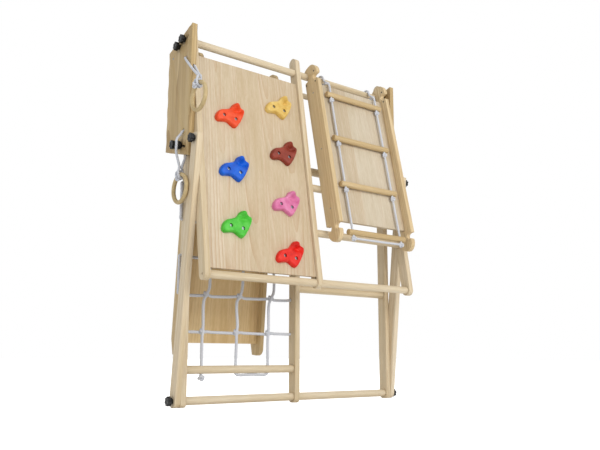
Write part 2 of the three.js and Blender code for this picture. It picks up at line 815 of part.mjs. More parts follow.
// Side rail with a rounded head, a back notch over the dowel and a front notch under a beak.
// The origin is the dowel's axis, -Y the front edge.
function hookedShape(length, slideFoot) {
  const front = hookedBack - hookedDepth;
  const hookRadius = dowelRadius + hookGap;
  const mouth = Math.sqrt(hookRadius * hookRadius - hookedBack * hookedBack);
  const mouthAngle = Math.atan2(mouth, hookedBack);
  const notchInner = front + notchDepth;
  const notchTop = notchHeight / 2 - frontNotchDrop;
  const notchBottom = notchTop - notchHeight;
  const notchCorner = notchDepth / 2;
  const shape = new THREE.Shape();
  shape.moveTo(hookedBack, mouth);
  shape.bezierCurveTo(hookedBack, headHeight * 0.75, -hookedBack, headHeight, front / 2, headHeight);
  shape.bezierCurveTo(front * 0.8, headHeight, front, headHeight * 0.5, front, notchTop + notchCorner);
  shape.lineTo(front, notchTop + notchCorner / 2);
  shape.lineTo(front + notchCorner / 2, notchTop);
  shape.lineTo(notchInner + notchCorner, notchTop);
  shape.absarc(notchInner, (notchTop + notchBottom) / 2, notchHeight / 2, Math.PI / 2, -Math.PI / 2, true);
  shape.lineTo(front + notchCorner / 2, notchBottom);
  shape.lineTo(front, notchBottom - notchCorner / 2);
  if (slideFoot) {
    shape.lineTo(front, slideToeRadius - length);
    shape.absarc(front + slideToeRadius, slideToeRadius - length, slideToeRadius, Math.PI, Math.PI * 1.5, false);
    shape.lineTo(hookedBack - slideChamferRun, -length);
    shape.lineTo(hookedBack, slideChamferRise - length);
  } else {
    addRampFoot(shape, front, length);
  }
  shape.lineTo(hookedBack, -backNotchLip - notchCorner / 2);
  shape.lineTo(hookedBack - notchCorner / 2, -backNotchLip);
  shape.quadraticCurveTo(-hookRadius, -backNotchLip, -hookRadius, -backNotchRun);
  shape.lineTo(-hookRadius, 0);
  shape.absarc(0, 0, hookRadius, Math.PI, mouthAngle, true);
  shape.closePath();
  return shape;
}

// Rounded foot with a notch on each side, like the head
function addRampFoot(shape, front, length) {
  const neckZ = footNotchRise - length;
  const radius = notchHeight / 2;
  const bulb = notchDepth;
  shape.lineTo(front, neckZ + radius);
  shape.lineTo(front + notchDepth - radius / 2, neckZ + radius);
  shape.absarc(front + notchDepth, neckZ, radius, Math.PI / 2, -Math.PI / 2, true);
  shape.lineTo(front + bulb / 2, neckZ - radius);
  shape.bezierCurveTo(front, neckZ - radius - bulb, front + bulb, -length, front / 2, -length);
  shape.bezierCurveTo(hookedBack - bulb, -length, hookedBack, neckZ - radius - bulb,
    hookedBack - bulb / 2, neckZ - radius);
  shape.lineTo(hookedBack - notchDepth, neckZ - radius);
  shape.absarc(hookedBack - notchDepth, neckZ, radius, -Math.PI / 2, Math.PI / 2, true);
  shape.lineTo(hookedBack, neckZ + radius);
}

function hookedPinHoles(fromX, thickness) {
  const front = hookedBack - hookedDepth;
  const inset = pinHoleDiameter;
  const tools = [];
  const places = [
    [front + notchDepth, notchHeight / 2 - frontNotchDrop + 2 * inset],
    [front + notchDepth, -notchHeight / 2 - frontNotchDrop - 2 * inset],
    [hookedBack - inset, dowelRadius + inset],
    [hookedBack - inset, -backNotchLip - 2 * inset],
  ];
  for (const [y, z] of places) {
    tools.push(rodAlongX(pinHoleDiameter / 2, fromX - cutOverrun, fromX + thickness + cutOverrun, y, z, studSides));
  }
  return tools;
}

const panelPlane = hookedBack - hookedDepth / 2;

function railGroove(face, fromZ, toZ) {
  return block(2 * (grooveDepth + fitGap), panelThickness + 2 * fitGap, fromZ - toZ + 2 * fitGap,
    face, panelPlane, (fromZ + toZ) / 2);
}

function screwHoles(fromX, thickness, drops) {
  const radius = boreRadius(screwRadius / 2, fitGap, netSides);
  return drops.map((drop) => rodAlongX(radius, fromX - cutOverrun, fromX + thickness + cutOverrun,
    panelPlane, -drop, netSides));
}

const rampScrewShares = [0.08, 0.5, 0.92];

function panelScrewDrops(top, bottom) {
  return rampScrewShares.map((share) => top + (bottom - top) * share);
}

// Screws that come in through both rails into the panel's edges
function panelScrews(middleX, width, drops) {
  const reach = width / 2 - fitGap;
  return drops.map((drop) => rodAlongX(screwRadius / 2, middleX - reach, middleX + reach, panelPlane, -drop, netSides));
}

function hookedUnit(parent, middleX, width, thickness, shape, panelTopDrop, panelEndDrop, names) {
  const drops = panelScrewDrops(panelTopDrop, panelEndDrop);
  for (const side of [-1, 1]) {
    const outer = middleX + side * width / 2;
    const fromX = side < 0 ? outer : outer - thickness;
    const inner = side < 0 ? outer + thickness : outer - thickness;
    const tools = hookedPinHoles(fromX, thickness);
    tools.push(railGroove(inner, -panelTopDrop, -panelEndDrop));
    tools.push(...screwHoles(fromX, thickness, drops));
    const plain = sideProfile(shape, thickness, fromX, 6);
    addMesh(parent, side < 0 ? names.left : names.right, cut(plain, tools), pine);
  }
  const panelWidth = width - 2 * thickness + 2 * grooveDepth;
  const plain = block(panelWidth, panelThickness, panelEndDrop - panelTopDrop, middleX, panelPlane,
    -(panelTopDrop + panelEndDrop) / 2);
  addMesh(parent, names.panel, join([plain, ...panelScrews(middleX, width, drops)]), pine);
}

// Ramp: hooked over the leaf's top dowel, its back edges on the upper leaf rung
const rampAngle = Math.asin((dowelRadius + fitGap + hookedBack) / leafRungUpper);
const ramp = new THREE.Group();
ramp.position.copy(leaf.position);
ramp.rotation.x = -foldAngle - rampAngle;
object.add(ramp);
hookedUnit(ramp, rampMiddle, rampWidth, rampThickness, hookedShape(rampLength, false), rampPanelTop,
  rampLength - rampPanelEnd, {
    left: "ramp_rail_left",
    right: "ramp_rail_right",
    panel: "ramp_panel",
  });

// Rope ladder: four rungs on two ropes, hung over the dowel and lying on the ramp
const ladderPlane = panelPlane - panelThickness / 2 - ladderRungDiameter / 2 - ladderStandoff;
const ladderMiddle = rampMiddle + ladderOffset;
const ladderHalf = ladderRungLength / 2 - ladderRopeInset;
const nooseSteps = 8;
const ladderRopeSteps = 50;
const nooseStartAngle = Math.PI / 4;
const nooseTrimAngle = Math.PI / 5;

function ladderDrop(rung) {
  return ladderFirstDrop + ladderPitch * rung;
}

function ladderRung(rung) {
  const z = -ladderDrop(rung);
  const plain = rodAlongX(ladderRungDiameter / 2, ladderMiddle - ladderRungLength / 2,
    ladderMiddle + ladderRungLength / 2, ladderPlane, z, 12);
  const radius = boreRadius(ropeDiameter / 2, ropeHoleClearance, ropeSides);
  const tools = [-1, 1].map((side) => rodAlongZ(radius, ladderMiddle + side * ladderHalf, ladderPlane,
    z - ladderRungDiameter, z + ladderRungDiameter));
  addMesh(ramp, `ladder_rung_${rung + 1}`, cut(plain, tools), pineEdge);
}

for (let rung = 0; rung < ladderRungCount; rung += 1) {
  ladderRung(rung);
}

// Each ladder rope starts at a noose round the dowel and goes down through its four rungs,
// a knot under each. The left one ends with a run across under the last rung.
function ladderRope(side, name) {
  const x = ladderMiddle + side * ladderHalf;
  const wrap = dowelRadius + ropeDiameter / 2 + ladderWrapGap;
  const knotDrop = ladderRungDiameter / 2 + ladderKnotGap + knotRadius;
  const lastKnot = -ladderDrop(ladderRungCount - 1) - knotDrop;
  const points = [new THREE.Vector3(x, -ladderNooseForward, -ladderNooseDrop)];
  for (let step = 0; step <= nooseSteps; step += 1) {
    const angle = -nooseStartAngle + (step / nooseSteps) * (2 * nooseStartAngle + Math.PI - nooseTrimAngle);
    points.push(new THREE.Vector3(x, Math.sin(angle + Math.PI / 2) * wrap, -Math.cos(angle + Math.PI / 2) * wrap));
  }
  points.push(
    new THREE.Vector3(x, -ladderNooseForward, -ladderNooseDrop),
    new THREE.Vector3(x, ladderPlane, -ladderDrop(0) + 2 * ladderRungDiameter),
    new THREE.Vector3(x, ladderPlane, -ladderDrop(0)),
    new THREE.Vector3(x, ladderPlane, -ladderDrop(1)),
    new THREE.Vector3(x, ladderPlane, -ladderDrop(2)),
    new THREE.Vector3(x, ladderPlane, lastKnot),
  );
  const pieces = [ropeTube(points, ladderRopeSteps), knot(x, -ladderNooseForward, -ladderNooseDrop)];
  for (let rung = 0; rung < ladderRungCount; rung += 1) {
    pieces.push(knot(x, ladderPlane, -ladderDrop(rung) - knotDrop, knotRadius, knotLength));
  }
  if (side < 0) {
    const far = ladderMiddle + ladderHalf - knotRadius - layerGap;
    pieces.push(rodAlongX(ropeDiameter / 2, x, far, ladderPlane, lastKnot, ropeSides));
  }
  addMesh(ramp, name, join(pieces), rope);
}

ladderRope(-1, "ladder_rope_left");
ladderRope(1, "ladder_rope_right");

// Slide: hung behind by its front notches on the upper cross bar, resting on the lower one
const slideNotchY = hookedBack - hookedDepth + notchDepth;
const slideNotchZ = -frontNotchDrop;
const barSeat = notchHeight / 2 * Math.cos(Math.PI / 12) - barRadius - fitGap;
const slideFrontGap = barRadius + fitGap;
const barDistance = pivotSpacing - 2 * barEndOffset;
const slideAngle = Math.asin((slideFrontGap + notchDepth) / barDistance);
const slide = new THREE.Group();
slide.position.set(0, barInset, frontPivotHeight - barEndOffset);
slide.rotation.x = slideAngle;
object.add(slide);
const slideBody = new THREE.Group();
slideBody.position.set(0, -slideNotchY, -slideNotchZ - barSeat);
slide.add(slideBody);
hookedUnit(slideBody, -slideMiddle, slideWidth, slideThickness, hookedShape(slideLength, true), rampPanelTop,
  slideLength - slidePanelEnd, {
    left: "slide_rail_left",
    right: "slide_rail_right",
    panel: "slide_panel",
  });

// Wooden rings on rope loops through the left board
const upperRingX = -(boardInnerFace + boardThickness / 2 + upperRingOut);
const lowerRingX = -(boardOuterFace + ringBar / 2 + layerGap);
const outerStrandX = -(boardOuterFace + ropeDiameter / 2 + strandClearance);
const innerStrandX = -(boardInnerFace + ropeDiameter / 2 + strandInset);
const ringSides = 8;
const ringSteps = 20;
const hitchSteps = 8;
const eyeSteps = 6;
const ringRopeSteps = 52;

function woodenRing(name, x, y, z) {
  const points = [];
  const ringRadius = (ringDiameter - ringBar) / 2;
  for (let index = 0; index <= ringSides; index += 1) {
    const angle = (index % ringSides) / ringSides * Math.PI * 2;
    const edge = ringRadius + Math.cos(angle) * ringBar / 2;
    points.push(new THREE.Vector2(edge, Math.sin(angle) * ringBar / 2));
  }
  const geometry = new THREE.LatheGeometry(points, ringSteps);
  geometry.rotateZ(Math.PI / 2);
  geometry.translate(x, y, z);
  addMesh(object, name, geometry, pineEdge);
}

// Two turns of rope round the top of a ring, with the knot above them
function ringHitch(x, y, z) {
  const pieces = [];
  for (const side of [-1, 1]) {
    const points = [];
    for (let index = 0; index <= ringSides; index += 1) {
      const angle = (index % ringSides) / ringSides * Math.PI * 2;
      const edge = hitchRadius + Math.cos(angle) * ropeDiameter / 2;
      points.push(new THREE.Vector2(edge, Math.sin(angle) * ropeDiameter / 2));
    }
    const turn = new THREE.LatheGeometry(points, hitchSteps);
    turn.translate(x, y + side * hitchSpread, z + ringTop);
    pieces.push(turn);
  }
  const lump = new THREE.SphereGeometry(knotRadius, ringSides, netSides - 2);
  lump.scale(1, 1, knotLength / knotRadius);
  lump.translate(x, y, z + ringTop + hitchRadius + knotLength);
  pieces.push(lump);
  return pieces;
}

// Half turn of a ring rope through its eye, from the outer strand to the inner one
function eyeTurn(holeY, holeZ, alongY, alongZ) {
  const middleX = (outerStrandX + innerStrandX) / 2;
  const reach = (innerStrandX - outerStrandX) / 2;
  const points = [];
  for (let step = 0; step <= eyeSteps; step += 1) {
    const angle = (step / eyeSteps) * Math.PI;
    const run = reach * (1 - Math.sin(angle));
    points.push(new THREE.Vector3(middleX - Math.cos(angle) * reach, holeY + alongY * run, holeZ + alongZ * run));
  }
  return points;
}

// Rope from the knot over the ring up to the eye, through it and back down to the same knot
function ringRope(name, ringX, ringY, ringZ, outer, turn, inner) {
  const knotZ = ringZ + ringTop + hitchRadius + knotLength;
  const points = [new THREE.Vector3(ringX - hitchClearance, ringY, knotZ), ...outer, ...turn, ...inner];
  points.push(new THREE.Vector3(ringX + hitchClearance, ringY, knotZ));
  addMesh(object, name, join([ropeTube(points, ringRopeSteps), ...ringHitch(ringX, ringY, ringZ)]), rope);
}

const upperRingY = -upperRingForward;
const upperRingZ = frontPivotHeight - upperRingDrop;
const upperEyeZ = rearPivotHeight + upperHoleZ;
const upperEdgeY = upperHoleY - upperReliefRun;
const upperEdgeZ = upperEyeZ - upperReliefDrop;
const upperRun = Math.hypot(upperReliefRun, upperReliefDrop);
woodenRing("ring_upper", upperRingX, upperRingY, upperRingZ);
ringRope("ring_rope_upper", upperRingX, upperRingY, upperRingZ,
  [new THREE.Vector3(outerStrandX, upperEdgeY, upperEdgeZ)],
  eyeTurn(upperHoleY, upperEyeZ, -upperReliefRun / upperRun, -upperReliefDrop / upperRun),
  [new THREE.Vector3(innerStrandX, upperEdgeY, upperEdgeZ)]);

const lowerRingY = -lowerRingForward;
const lowerRingZ = rearPivotHeight - lowerRingDrop;
const lowerEyeZ = rearPivotHeight + lowerHoleZ;
const overKnobX = -(boardOuterFace + fitGap + knobHubHeight + knobHeadHeight + ropeDiameter / 2 + strandClearance);
const boardEdgeZ = rearPivotHeight - endRise;
woodenRing("ring_lower", lowerRingX, lowerRingY, lowerRingZ);
ringRope("ring_rope_lower", lowerRingX, lowerRingY, lowerRingZ,
  [
    new THREE.Vector3(overKnobX, lowerHoleY, boardEdgeZ),
    new THREE.Vector3(overKnobX, lowerHoleY, rearPivotHeight),
    new THREE.Vector3(overKnobX, lowerHoleY, rearPivotHeight + knobRadius),
  ],
  eyeTurn(lowerHoleY, lowerEyeZ, 0, -1),
  [
    new THREE.Vector3(innerStrandX, lowerHoleY, rearPivotHeight),
    new THREE.Vector3(innerStrandX, lowerHoleY, boardEdgeZ),
  ]);

export default object;
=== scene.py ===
import math
from functools import partial
import bmesh
import bpy
from mathutils import Matrix, Vector


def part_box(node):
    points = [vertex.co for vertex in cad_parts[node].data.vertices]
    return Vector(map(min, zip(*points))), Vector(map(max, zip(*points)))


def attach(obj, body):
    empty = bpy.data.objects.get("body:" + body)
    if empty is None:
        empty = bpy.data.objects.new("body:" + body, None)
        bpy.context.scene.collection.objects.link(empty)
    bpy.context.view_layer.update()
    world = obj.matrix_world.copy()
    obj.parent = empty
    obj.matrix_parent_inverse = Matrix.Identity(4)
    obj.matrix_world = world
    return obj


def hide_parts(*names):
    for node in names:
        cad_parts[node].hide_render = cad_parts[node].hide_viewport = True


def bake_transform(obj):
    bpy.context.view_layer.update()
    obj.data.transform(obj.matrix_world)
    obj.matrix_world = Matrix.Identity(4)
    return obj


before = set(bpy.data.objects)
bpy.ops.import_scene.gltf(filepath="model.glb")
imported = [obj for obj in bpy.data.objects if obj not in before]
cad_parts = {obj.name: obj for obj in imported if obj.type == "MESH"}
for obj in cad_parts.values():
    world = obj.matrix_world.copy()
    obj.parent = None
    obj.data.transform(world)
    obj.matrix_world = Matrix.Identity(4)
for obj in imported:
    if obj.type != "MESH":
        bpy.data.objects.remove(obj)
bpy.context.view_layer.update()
print("frame loaded,", len(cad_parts), "nodes")

camera = {
    "place": (-1.6086, -2.1730, 0.1946),
    "yaw": 35.859,      # degrees to the right of the +Y axis
    "pitch": 10.3,      # degrees up
    "roll": 0.341,
    "lens": 39.66,
    "shift": (0.0212, 0.0123),
}
cameraData = bpy.data.cameras.new("photoCamera")
cameraData.lens = camera["lens"]
cameraData.sensor_width = 36.0
cameraData.shift_x, cameraData.shift_y = camera["shift"]
cameraData.clip_start = 0.05
cameraData.clip_end = 60.0
cameraObject = bpy.data.objects.new("photoCamera", cameraData)
bpy.context.scene.collection.objects.link(cameraObject)
cameraObject.matrix_world = (
    Matrix.Translation(camera["place"])
    @ Matrix.Rotation(math.radians(-camera["yaw"]), 4, "Z")
    @ Matrix.Rotation(math.radians(90.0 + camera["pitch"]), 4, "X")
    @ Matrix.Rotation(math.radians(camera["roll"]), 4, "Z")
)
bpy.context.scene.camera = cameraObject

# measures shared by several pieces, in metres
climber = {
    "rearPivot": 0.9575,
    "frontPivot": 1.3855,
    "leafLean": -9.3,          # degrees about X
    "rampLean": -12.036,
    "slideLean": 4.8025,
    "barLean": 6.4,
    "boardOut": 0.5336,
    "boardIn": 0.5116,
    "dowelRadius": 0.015,
    "ropeWidth": 0.010,
}


def deselectAll():
    if bpy.context.object and bpy.context.object.mode != "OBJECT":
        bpy.ops.object.mode_set(mode="OBJECT")
    for other in bpy.context.selected_objects:
        other.select_set(False)


def pick(piece):
    deselectAll()
    piece.select_set(True)
    bpy.context.view_layer.objects.active = piece


def applyModifier(piece, kind, **settings):
    pick(piece)
    modifier = piece.modifiers.new(kind.lower(), kind)
    for key, value in settings.items():
        setattr(modifier, key, value)
    bpy.ops.object.modifier_apply(modifier=modifier.name)


def joinAll(pieces):
    pick(pieces[0])
    for other in pieces[1:]:
        other.select_set(True)
    if len(pieces) > 1:
        bpy.ops.object.join()
    return pieces[0]


def smoothByAngle(piece, degrees=35):
    pick(piece)
    bpy.ops.object.shade_smooth_by_angle(angle=math.radians(degrees))


# Merges points closer than 0.02 mm, then uses one more mesh tool on the whole piece
def cleanMesh(piece, tool, **settings):
    pick(piece)
    bpy.ops.object.mode_set(mode="EDIT")
    bpy.ops.mesh.select_all(action="SELECT")
    bpy.ops.mesh.remove_doubles(threshold=0.00002)
    tool(**settings)
    bpy.ops.object.mode_set(mode="OBJECT")


# Cylinder with its place and turn already in its mesh
def turnedBar(sides, radius, length, spot=(0, 0, 0), turn=(0, 0, 0)):
    deselectAll()
    bpy.ops.mesh.primitive_cylinder_add(vertices=sides, radius=radius, depth=length, location=spot, rotation=turn)
    bpy.ops.object.transform_apply(location=True, rotation=True, scale=True)
    return bpy.context.object


alongX = (0, math.pi / 2, 0)
alongY = (math.pi / 2, 0, 0)


def easeEdges(piece, width, segments=2, **settings):
    applyModifier(piece, "BEVEL", width=width, segments=segments, limit_method="ANGLE", **settings)


def cutOut(piece, bit):
    applyModifier(piece, "BOOLEAN", object=bit, operation="DIFFERENCE")
    bpy.data.objects.remove(bit)


def dress(piece, finish):
    piece.data.materials.clear()
    piece.data.materials.append(finish)


def place(piece, matrix):
    piece.data.transform(matrix)
    piece.matrix_world = Matrix.Identity(4)
    return piece


# Last step of a piece: its place goes into its mesh, and it gets its name, body, nodes and finish
def settle(piece, name, body, nodes, finish=None):
    pick(piece)
    bpy.ops.object.transform_apply(location=True, rotation=True, scale=True)
    piece.name = name
    piece.data.name = name
    if finish is not None:
        dress(piece, finish)
    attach(piece, body)
    if nodes:
        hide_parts(*nodes)


def copyOf(piece, matrix):
    twin = bpy.data.objects.new(piece.name + "Twin", piece.data.copy())
    bpy.context.scene.collection.objects.link(twin)
    twin.data.transform(matrix)
    return twin


def toLinear(hexColour):
    channels = [int(hexColour[index:index + 2], 16) / 255 for index in (1, 3, 5)]
    return tuple(c / 12.92 if c <= 0.04045 else ((c + 0.055) / 1.055) ** 2.4 for c in channels) + (1.0,)


# Adds a node. Settings are its sockets by name or number, or its own values; links are sockets by name or i + number,
# joined to a socket or to a node's first output.
def addNode(tree, kind, settings=None, **links):
    node = tree.nodes.new("ShaderNode" + kind)
    for key, value in (settings or {}).items():
        if isinstance(key, int) or key in node.inputs.keys():
            node.inputs[key].default_value = value
        else:
            setattr(node, key, value)
    for key, source in links.items():
        socket = node.inputs[int(key[1:]) if key[1:].isdigit() else key]
        tree.links.new(source if isinstance(source, bpy.types.NodeSocket) else source.outputs[0], socket)
    return node


# A new material, the function that adds nodes to it, and its shader
def newFinish(name):
    finish = bpy.data.materials.new(name)
    finish.use_nodes = True
    tree = finish.node_tree
    shader = next(node for node in tree.nodes if node.type == "BSDF_PRINCIPLED")
    return finish, partial(addNode, tree), shader


def colourRamp(add, source, stops):
    node = add("ValToRGB", i0=source)
    elements = node.color_ramp.elements
    elements[0].position, elements[0].color = stops[0][0], toLinear(stops[0][1])
    elements[1].position, elements[1].color = stops[-1][0], toLinear(stops[-1][1])
    for position, colour in stops[1:-1]:
        elements.new(position).color = toLinear(colour)
    return node


tint = {"data_type": "RGBA", "blend_type": "MULTIPLY"}


# What reaches the shader: colour, gloss and bump from nodes, and the values that are the same all over
def feed(shader, colour, gloss, bump, values):
    for socket, source in (("Base Color", colour), ("Roughness", gloss), ("Normal", bump)):
        if source is not None:
            shader.id_data.links.new(source, shader.inputs[socket])
    for socket, value in values.items():
        shader.inputs[socket].default_value = value


# the grain's noises in waves per metre across the board: swings 90 mm wide, patches of tone 70 mm, streaks 18 mm and
# fibres 2.4 mm, coarser than real ones so that they show
grain = {"wander": 11.0, "tone": 14.0, "streak": 55.0, "fibres": 420.0, "sharpness": 2.2, "streakShare": 0.45,
         "fibreShade": 0.4, "bump": 0.25, "bumpDepth": 0.0004}


# Sanded pine under clear water-based varnish: satin, pale early wood with thin pinkish-tan late-wood lines that run
# along the grain and close in long flames. Each glued board of a panel has its own heart and its own tone.
def pineFinish(name, turn, origin, wood):
    finish, add, shader = newFinish(name)
    width = wood["boardWidth"]
    turned = add("Mapping", {
        "vector_type": "TEXTURE", "Location": origin, "Rotation": tuple(math.radians(angle) for angle in turn),
        "Scale": (1.0, 1.0, wood["stretch"]),
    }, Vector=add("TexCoord").outputs["Object"])
    parts = add("SeparateXYZ", Vector=turned)
    # which glued board this is, a chance of its own, and the place across it
    count = add("Math", {"operation": "DIVIDE", 1: width}, i0=parts)
    board = add("Math", {"operation": "FLOOR"}, i0=count)
    chance = add("TexWhiteNoise", {"noise_dimensions": "1D"}, W=board)
    middle = add("Math", {"operation": "MULTIPLY_ADD", 1: -width, 2: -0.5 * width}, i0=board)
    across = add("Math", {"operation": "ADD"}, i0=parts, i1=middle)
    sideways = add("CombineXYZ", X=across, Y=parts.outputs["Y"], Z=parts.outputs["Z"])
    heart = add("VectorMath", {"operation": "MULTIPLY_ADD", 1: wood["heartSpread"]}, i0=chance.outputs["Color"],
                i2=sideways)
    wander = add("TexNoise", {"Scale": grain["wander"], "Detail": 2.0, "Roughness": 0.5}, Vector=heart)
    offset = add("VectorMath", {"operation": "MULTIPLY_ADD", 1: (wood["wander"],) * 3}, i0=wander.outputs["Color"],
                 i2=heart)
    # rings of the wave texture repeat every 314 mm / scale; growth rings of 2 to 4 mm are drawn coarser, to show
    rings = add("TexWave", {
        "wave_type": "RINGS", "rings_direction": "Z", "wave_profile": "SAW", "Scale": 314.0 / wood["ringMm"],
        "Distortion": 1.4, "Detail": 2.0, "Detail Scale": 0.6, "Detail Roughness": 0.5,
    }, Vector=offset)
    fibres = add("TexNoise", {"Scale": grain["fibres"], "Detail": 3.0, "Roughness": 0.6}, Vector=turned)
    streak = add("TexNoise", {"Scale": grain["streak"], "Detail": 3.0, "Roughness": 0.55}, Vector=heart)
    tone = add("TexNoise", {"Scale": grain["tone"], "Detail": 3.0, "Roughness": 0.55}, Vector=heart)
    mixedTone = add("Mix", {"data_type": "FLOAT", 0: grain["streakShare"]}, i2=tone, i3=streak)
    patches = add("MapRange", {"From Min": 0.40, "From Max": 0.62, "To Min": wood["faint"]}, Value=tone)
    sharpened = add("Math", {"operation": "POWER", 1: grain["sharpness"]}, i0=rings.outputs["Fac"])
    lateWood = add("Math", {"operation": "MULTIPLY"}, i0=sharpened, i1=patches)
    strength = add("Math", {"operation": "MULTIPLY", 1: wood["contrast"]}, i0=lateWood)
    ground = colourRamp(add, mixedTone, [(0.34, wood["deep"]), (0.50, wood["pale"]), (0.66, wood["light"])])
    lines = add("Mix", {"data_type": "RGBA", 7: toLinear(wood["late"])}, i0=strength, i6=ground)
    ownTone = colourRamp(add, chance, [(0.0, wood["boardDark"]), (1.0, "#ffffff")])
    toned = add("Mix", {**tint, 0: 1.0}, i6=lines.outputs[2], i7=ownTone)
    speck = colourRamp(add, fibres, [(0.34, "#e3d8c6"), (0.60, "#ffffff")])
    grained = add("Mix", {**tint, 0: grain["fibreShade"]}, i6=toned.outputs[2], i7=speck)
    gloss = add("MapRange", {"To Min": 0.46, "To Max": 0.62}, Value=fibres)
    height = add("Math", {"operation": "MULTIPLY_ADD", 1: 0.4}, i0=lateWood, i2=fibres)
    bump = add("Bump", {"Strength": grain["bump"], "Distance": grain["bumpDepth"]}, Height=height)
    feed(shader, grained.outputs[2], gloss.outputs[0], bump.outputs[0], {"IOR": 1.47, "Specular IOR Level": 0.3})
    return finish


# widths in metres, growth rings in millimetres; the heart lies behind the face by its own share of heartSpread
timber = {
    "boardWidth": 0.25, "heartSpread": (0.03, 0.05, 3.0), "stretch": 26.0, "wander": 0.016, "ringMm": 8.0,
    "contrast": 0.5, "faint": 0.35,      # how strong the late wood is, and how much of it is left in its pale patches
    "light": "#e8dec9", "pale": "#dfd2b9", "deep": "#d0bf9f", "late": "#bd9f78", "boardDark": "#f2ede4",
}
darkTimber = dict(timber, ringMm=12.0, wander=0.022, contrast=0.6, light="#decaa4", pale="#d3bd93", deep="#c0a87d",
                  late="#9c7c54")
boardWood = dict(darkTimber, boardWidth=0.11, contrast=0.7, light="#d3bd93", pale="#c6af82", deep="#b1976b",
                 late="#8f6f46")
rampTimber = dict(darkTimber, light="#e9d8b6", pale="#e0cca6", deep="#d0ba92", late="#b08e64", ringMm=9.0)
barTimber = dict(timber, light="#f0e8d6", pale="#e8dcc6", deep="#dacaac")
dowelWood = dict(timber, ringMm=4.0, contrast=0.3)
rungWood = dict(dowelWood, light="#d9c49d", pale="#ceb78d", deep="#bda67b")
ringWood = dict(timber, ringMm=3.0, contrast=0.2, light="#d9caa6", pale="#cdbb92", deep="#bba77c")
panelWood = dict(timber, boardWidth=0.105, heartSpread=(0.07, 0.03, 3.0), ringMm=11.0, wander=0.034, contrast=0.62,
                 faint=0.08, stretch=13.0, light="#ded3c0", pale="#d5c8b1", deep="#cbbb9f", late="#b98f68",
                 boardDark="#f1eae0")
rampWood = dict(panelWood, contrast=0.35, light="#d6cdbb", pale="#cdc2ae", deep="#c5b8a0")
# painted light: the slide's panel is the same pine panel made paler, to make up for the shade of the climbing wall
# that it lies in
slideWoodPaintedLighter = dict(panelWood, light="#f6e1b6", pale="#eed7aa", deep="#e2c797", late="#b9966a")
frameHeart = (0.125, -0.03, 0.5)
dowelHeart = (0.0, -0.012, 0.1)
leaf, ramp, slide, bar = (climber[label] for label in ("leafLean", "rampLean", "slideLean", "barLean"))
pineUpright = pineFinish("sanded pine, upright grain", (1.0, 0, 0), frameHeart, timber)
pineAcross = pineFinish("turned pine dowel, grain across", (0, 90, 0), dowelHeart, dowelWood)
pineLeaf = pineFinish("sanded pine, leaf grain", (leaf + 1.5, 0, 0), (0.125, -0.065, 0.8), timber)
pineRamp = pineFinish("sanded pine, ramp grain", (ramp + 1.0, 0, 0), (0.125, -0.10, 0.8), rampTimber)
pineSlide = pineFinish("sanded pine, slide grain", (slide + 1.0, 0, 0), (0.125, 0.20, 0.8), darkTimber)
pineBar = pineFinish("sanded pine, base bar grain", (bar + 1.0, 0, 0), frameHeart, barTimber)
pineBoard = pineFinish("planed pine board, side panel", (1.2, 0, 90), (0.125, -0.05, 1.2), boardWood)
pineRung = pineFinish("turned pine rung, grain across", (0, 90, 0), dowelHeart, rungWood)
panelLeaf = pineFinish("edge-glued pine panel, climbing wall", (leaf + 3.0, 0, 0), (0.0, -0.035, 0.8), panelWood)
panelRamp = pineFinish("edge-glued pine panel, ramp", (ramp + 2.0, 0, 0), (0.03, -0.10, 1.0), rampWood)
# the slide's panel gets the paler wood, with painted light
panelSlide = pineFinish("edge-glued pine panel, slide", (slide + 2.0, 0, 0), (0.03, 0.20, 0.8), slideWoodPaintedLighter)
beechRing = pineFinish("turned beech ring", (90, 0, 0), (0.1, 0.0, 0.0), ringWood)


# Three-strand polyester rope, laid: cool white, matt, with fine yarns that follow the lay, and painted shade and
# painted highlight along the yarns: grey in their grooves, whiter on their crowns
def ropeFinish(name):
    finish, add, shader = newFinish(name)
    yarnMap = add("Mapping", {"Rotation": (0, 0, math.radians(38))}, Vector=add("UVMap", {"uv_map": "lay"}))
    # yarns of 0.9 mm; uv is in units of one rope width
    yarnsAndPaintedShade = add("TexWave", {"wave_type": "BANDS", "bands_direction": "X", "Scale": 3.1, "Distortion": 0.8,
                            "Detail": 1.0, "Detail Scale": 3.0}, Vector=yarnMap).outputs["Fac"]
    fluff = add("TexNoise", {"Scale": 900.0, "Detail": 2.0}, Vector=add("TexCoord").outputs["Object"])
    # painted shade and painted highlight: the grooves between the yarns get the grey of a rope's shaded side, their
    # crowns the white of its lit middle
    shade = colourRamp(add, yarnsAndPaintedShade, [(0.0, "#b7bac2"), (0.5, "#cfd1d8"), (1.0, "#e2e3e8")])
    soft = add("Mix", {**tint, 0: 0.25}, i6=shade, i7=fluff.outputs["Color"])
    white = add("Mix", {"data_type": "RGBA", 0: 0.5, 7: toLinear("#d3d5dc")}, i6=soft.outputs[2])
    height = add("Math", {"operation": "ADD"}, i0=yarnsAndPaintedShade, i1=fluff)
    bump = add("Bump", {"Strength": 0.5, "Distance": 0.0005}, Height=height)
    feed(shader, white.outputs[2], None, bump.outputs[0],
         {"Roughness": 0.85, "Sheen Weight": 0.25, "Sheen Roughness": 0.4, "IOR": 1.5})
    return finish


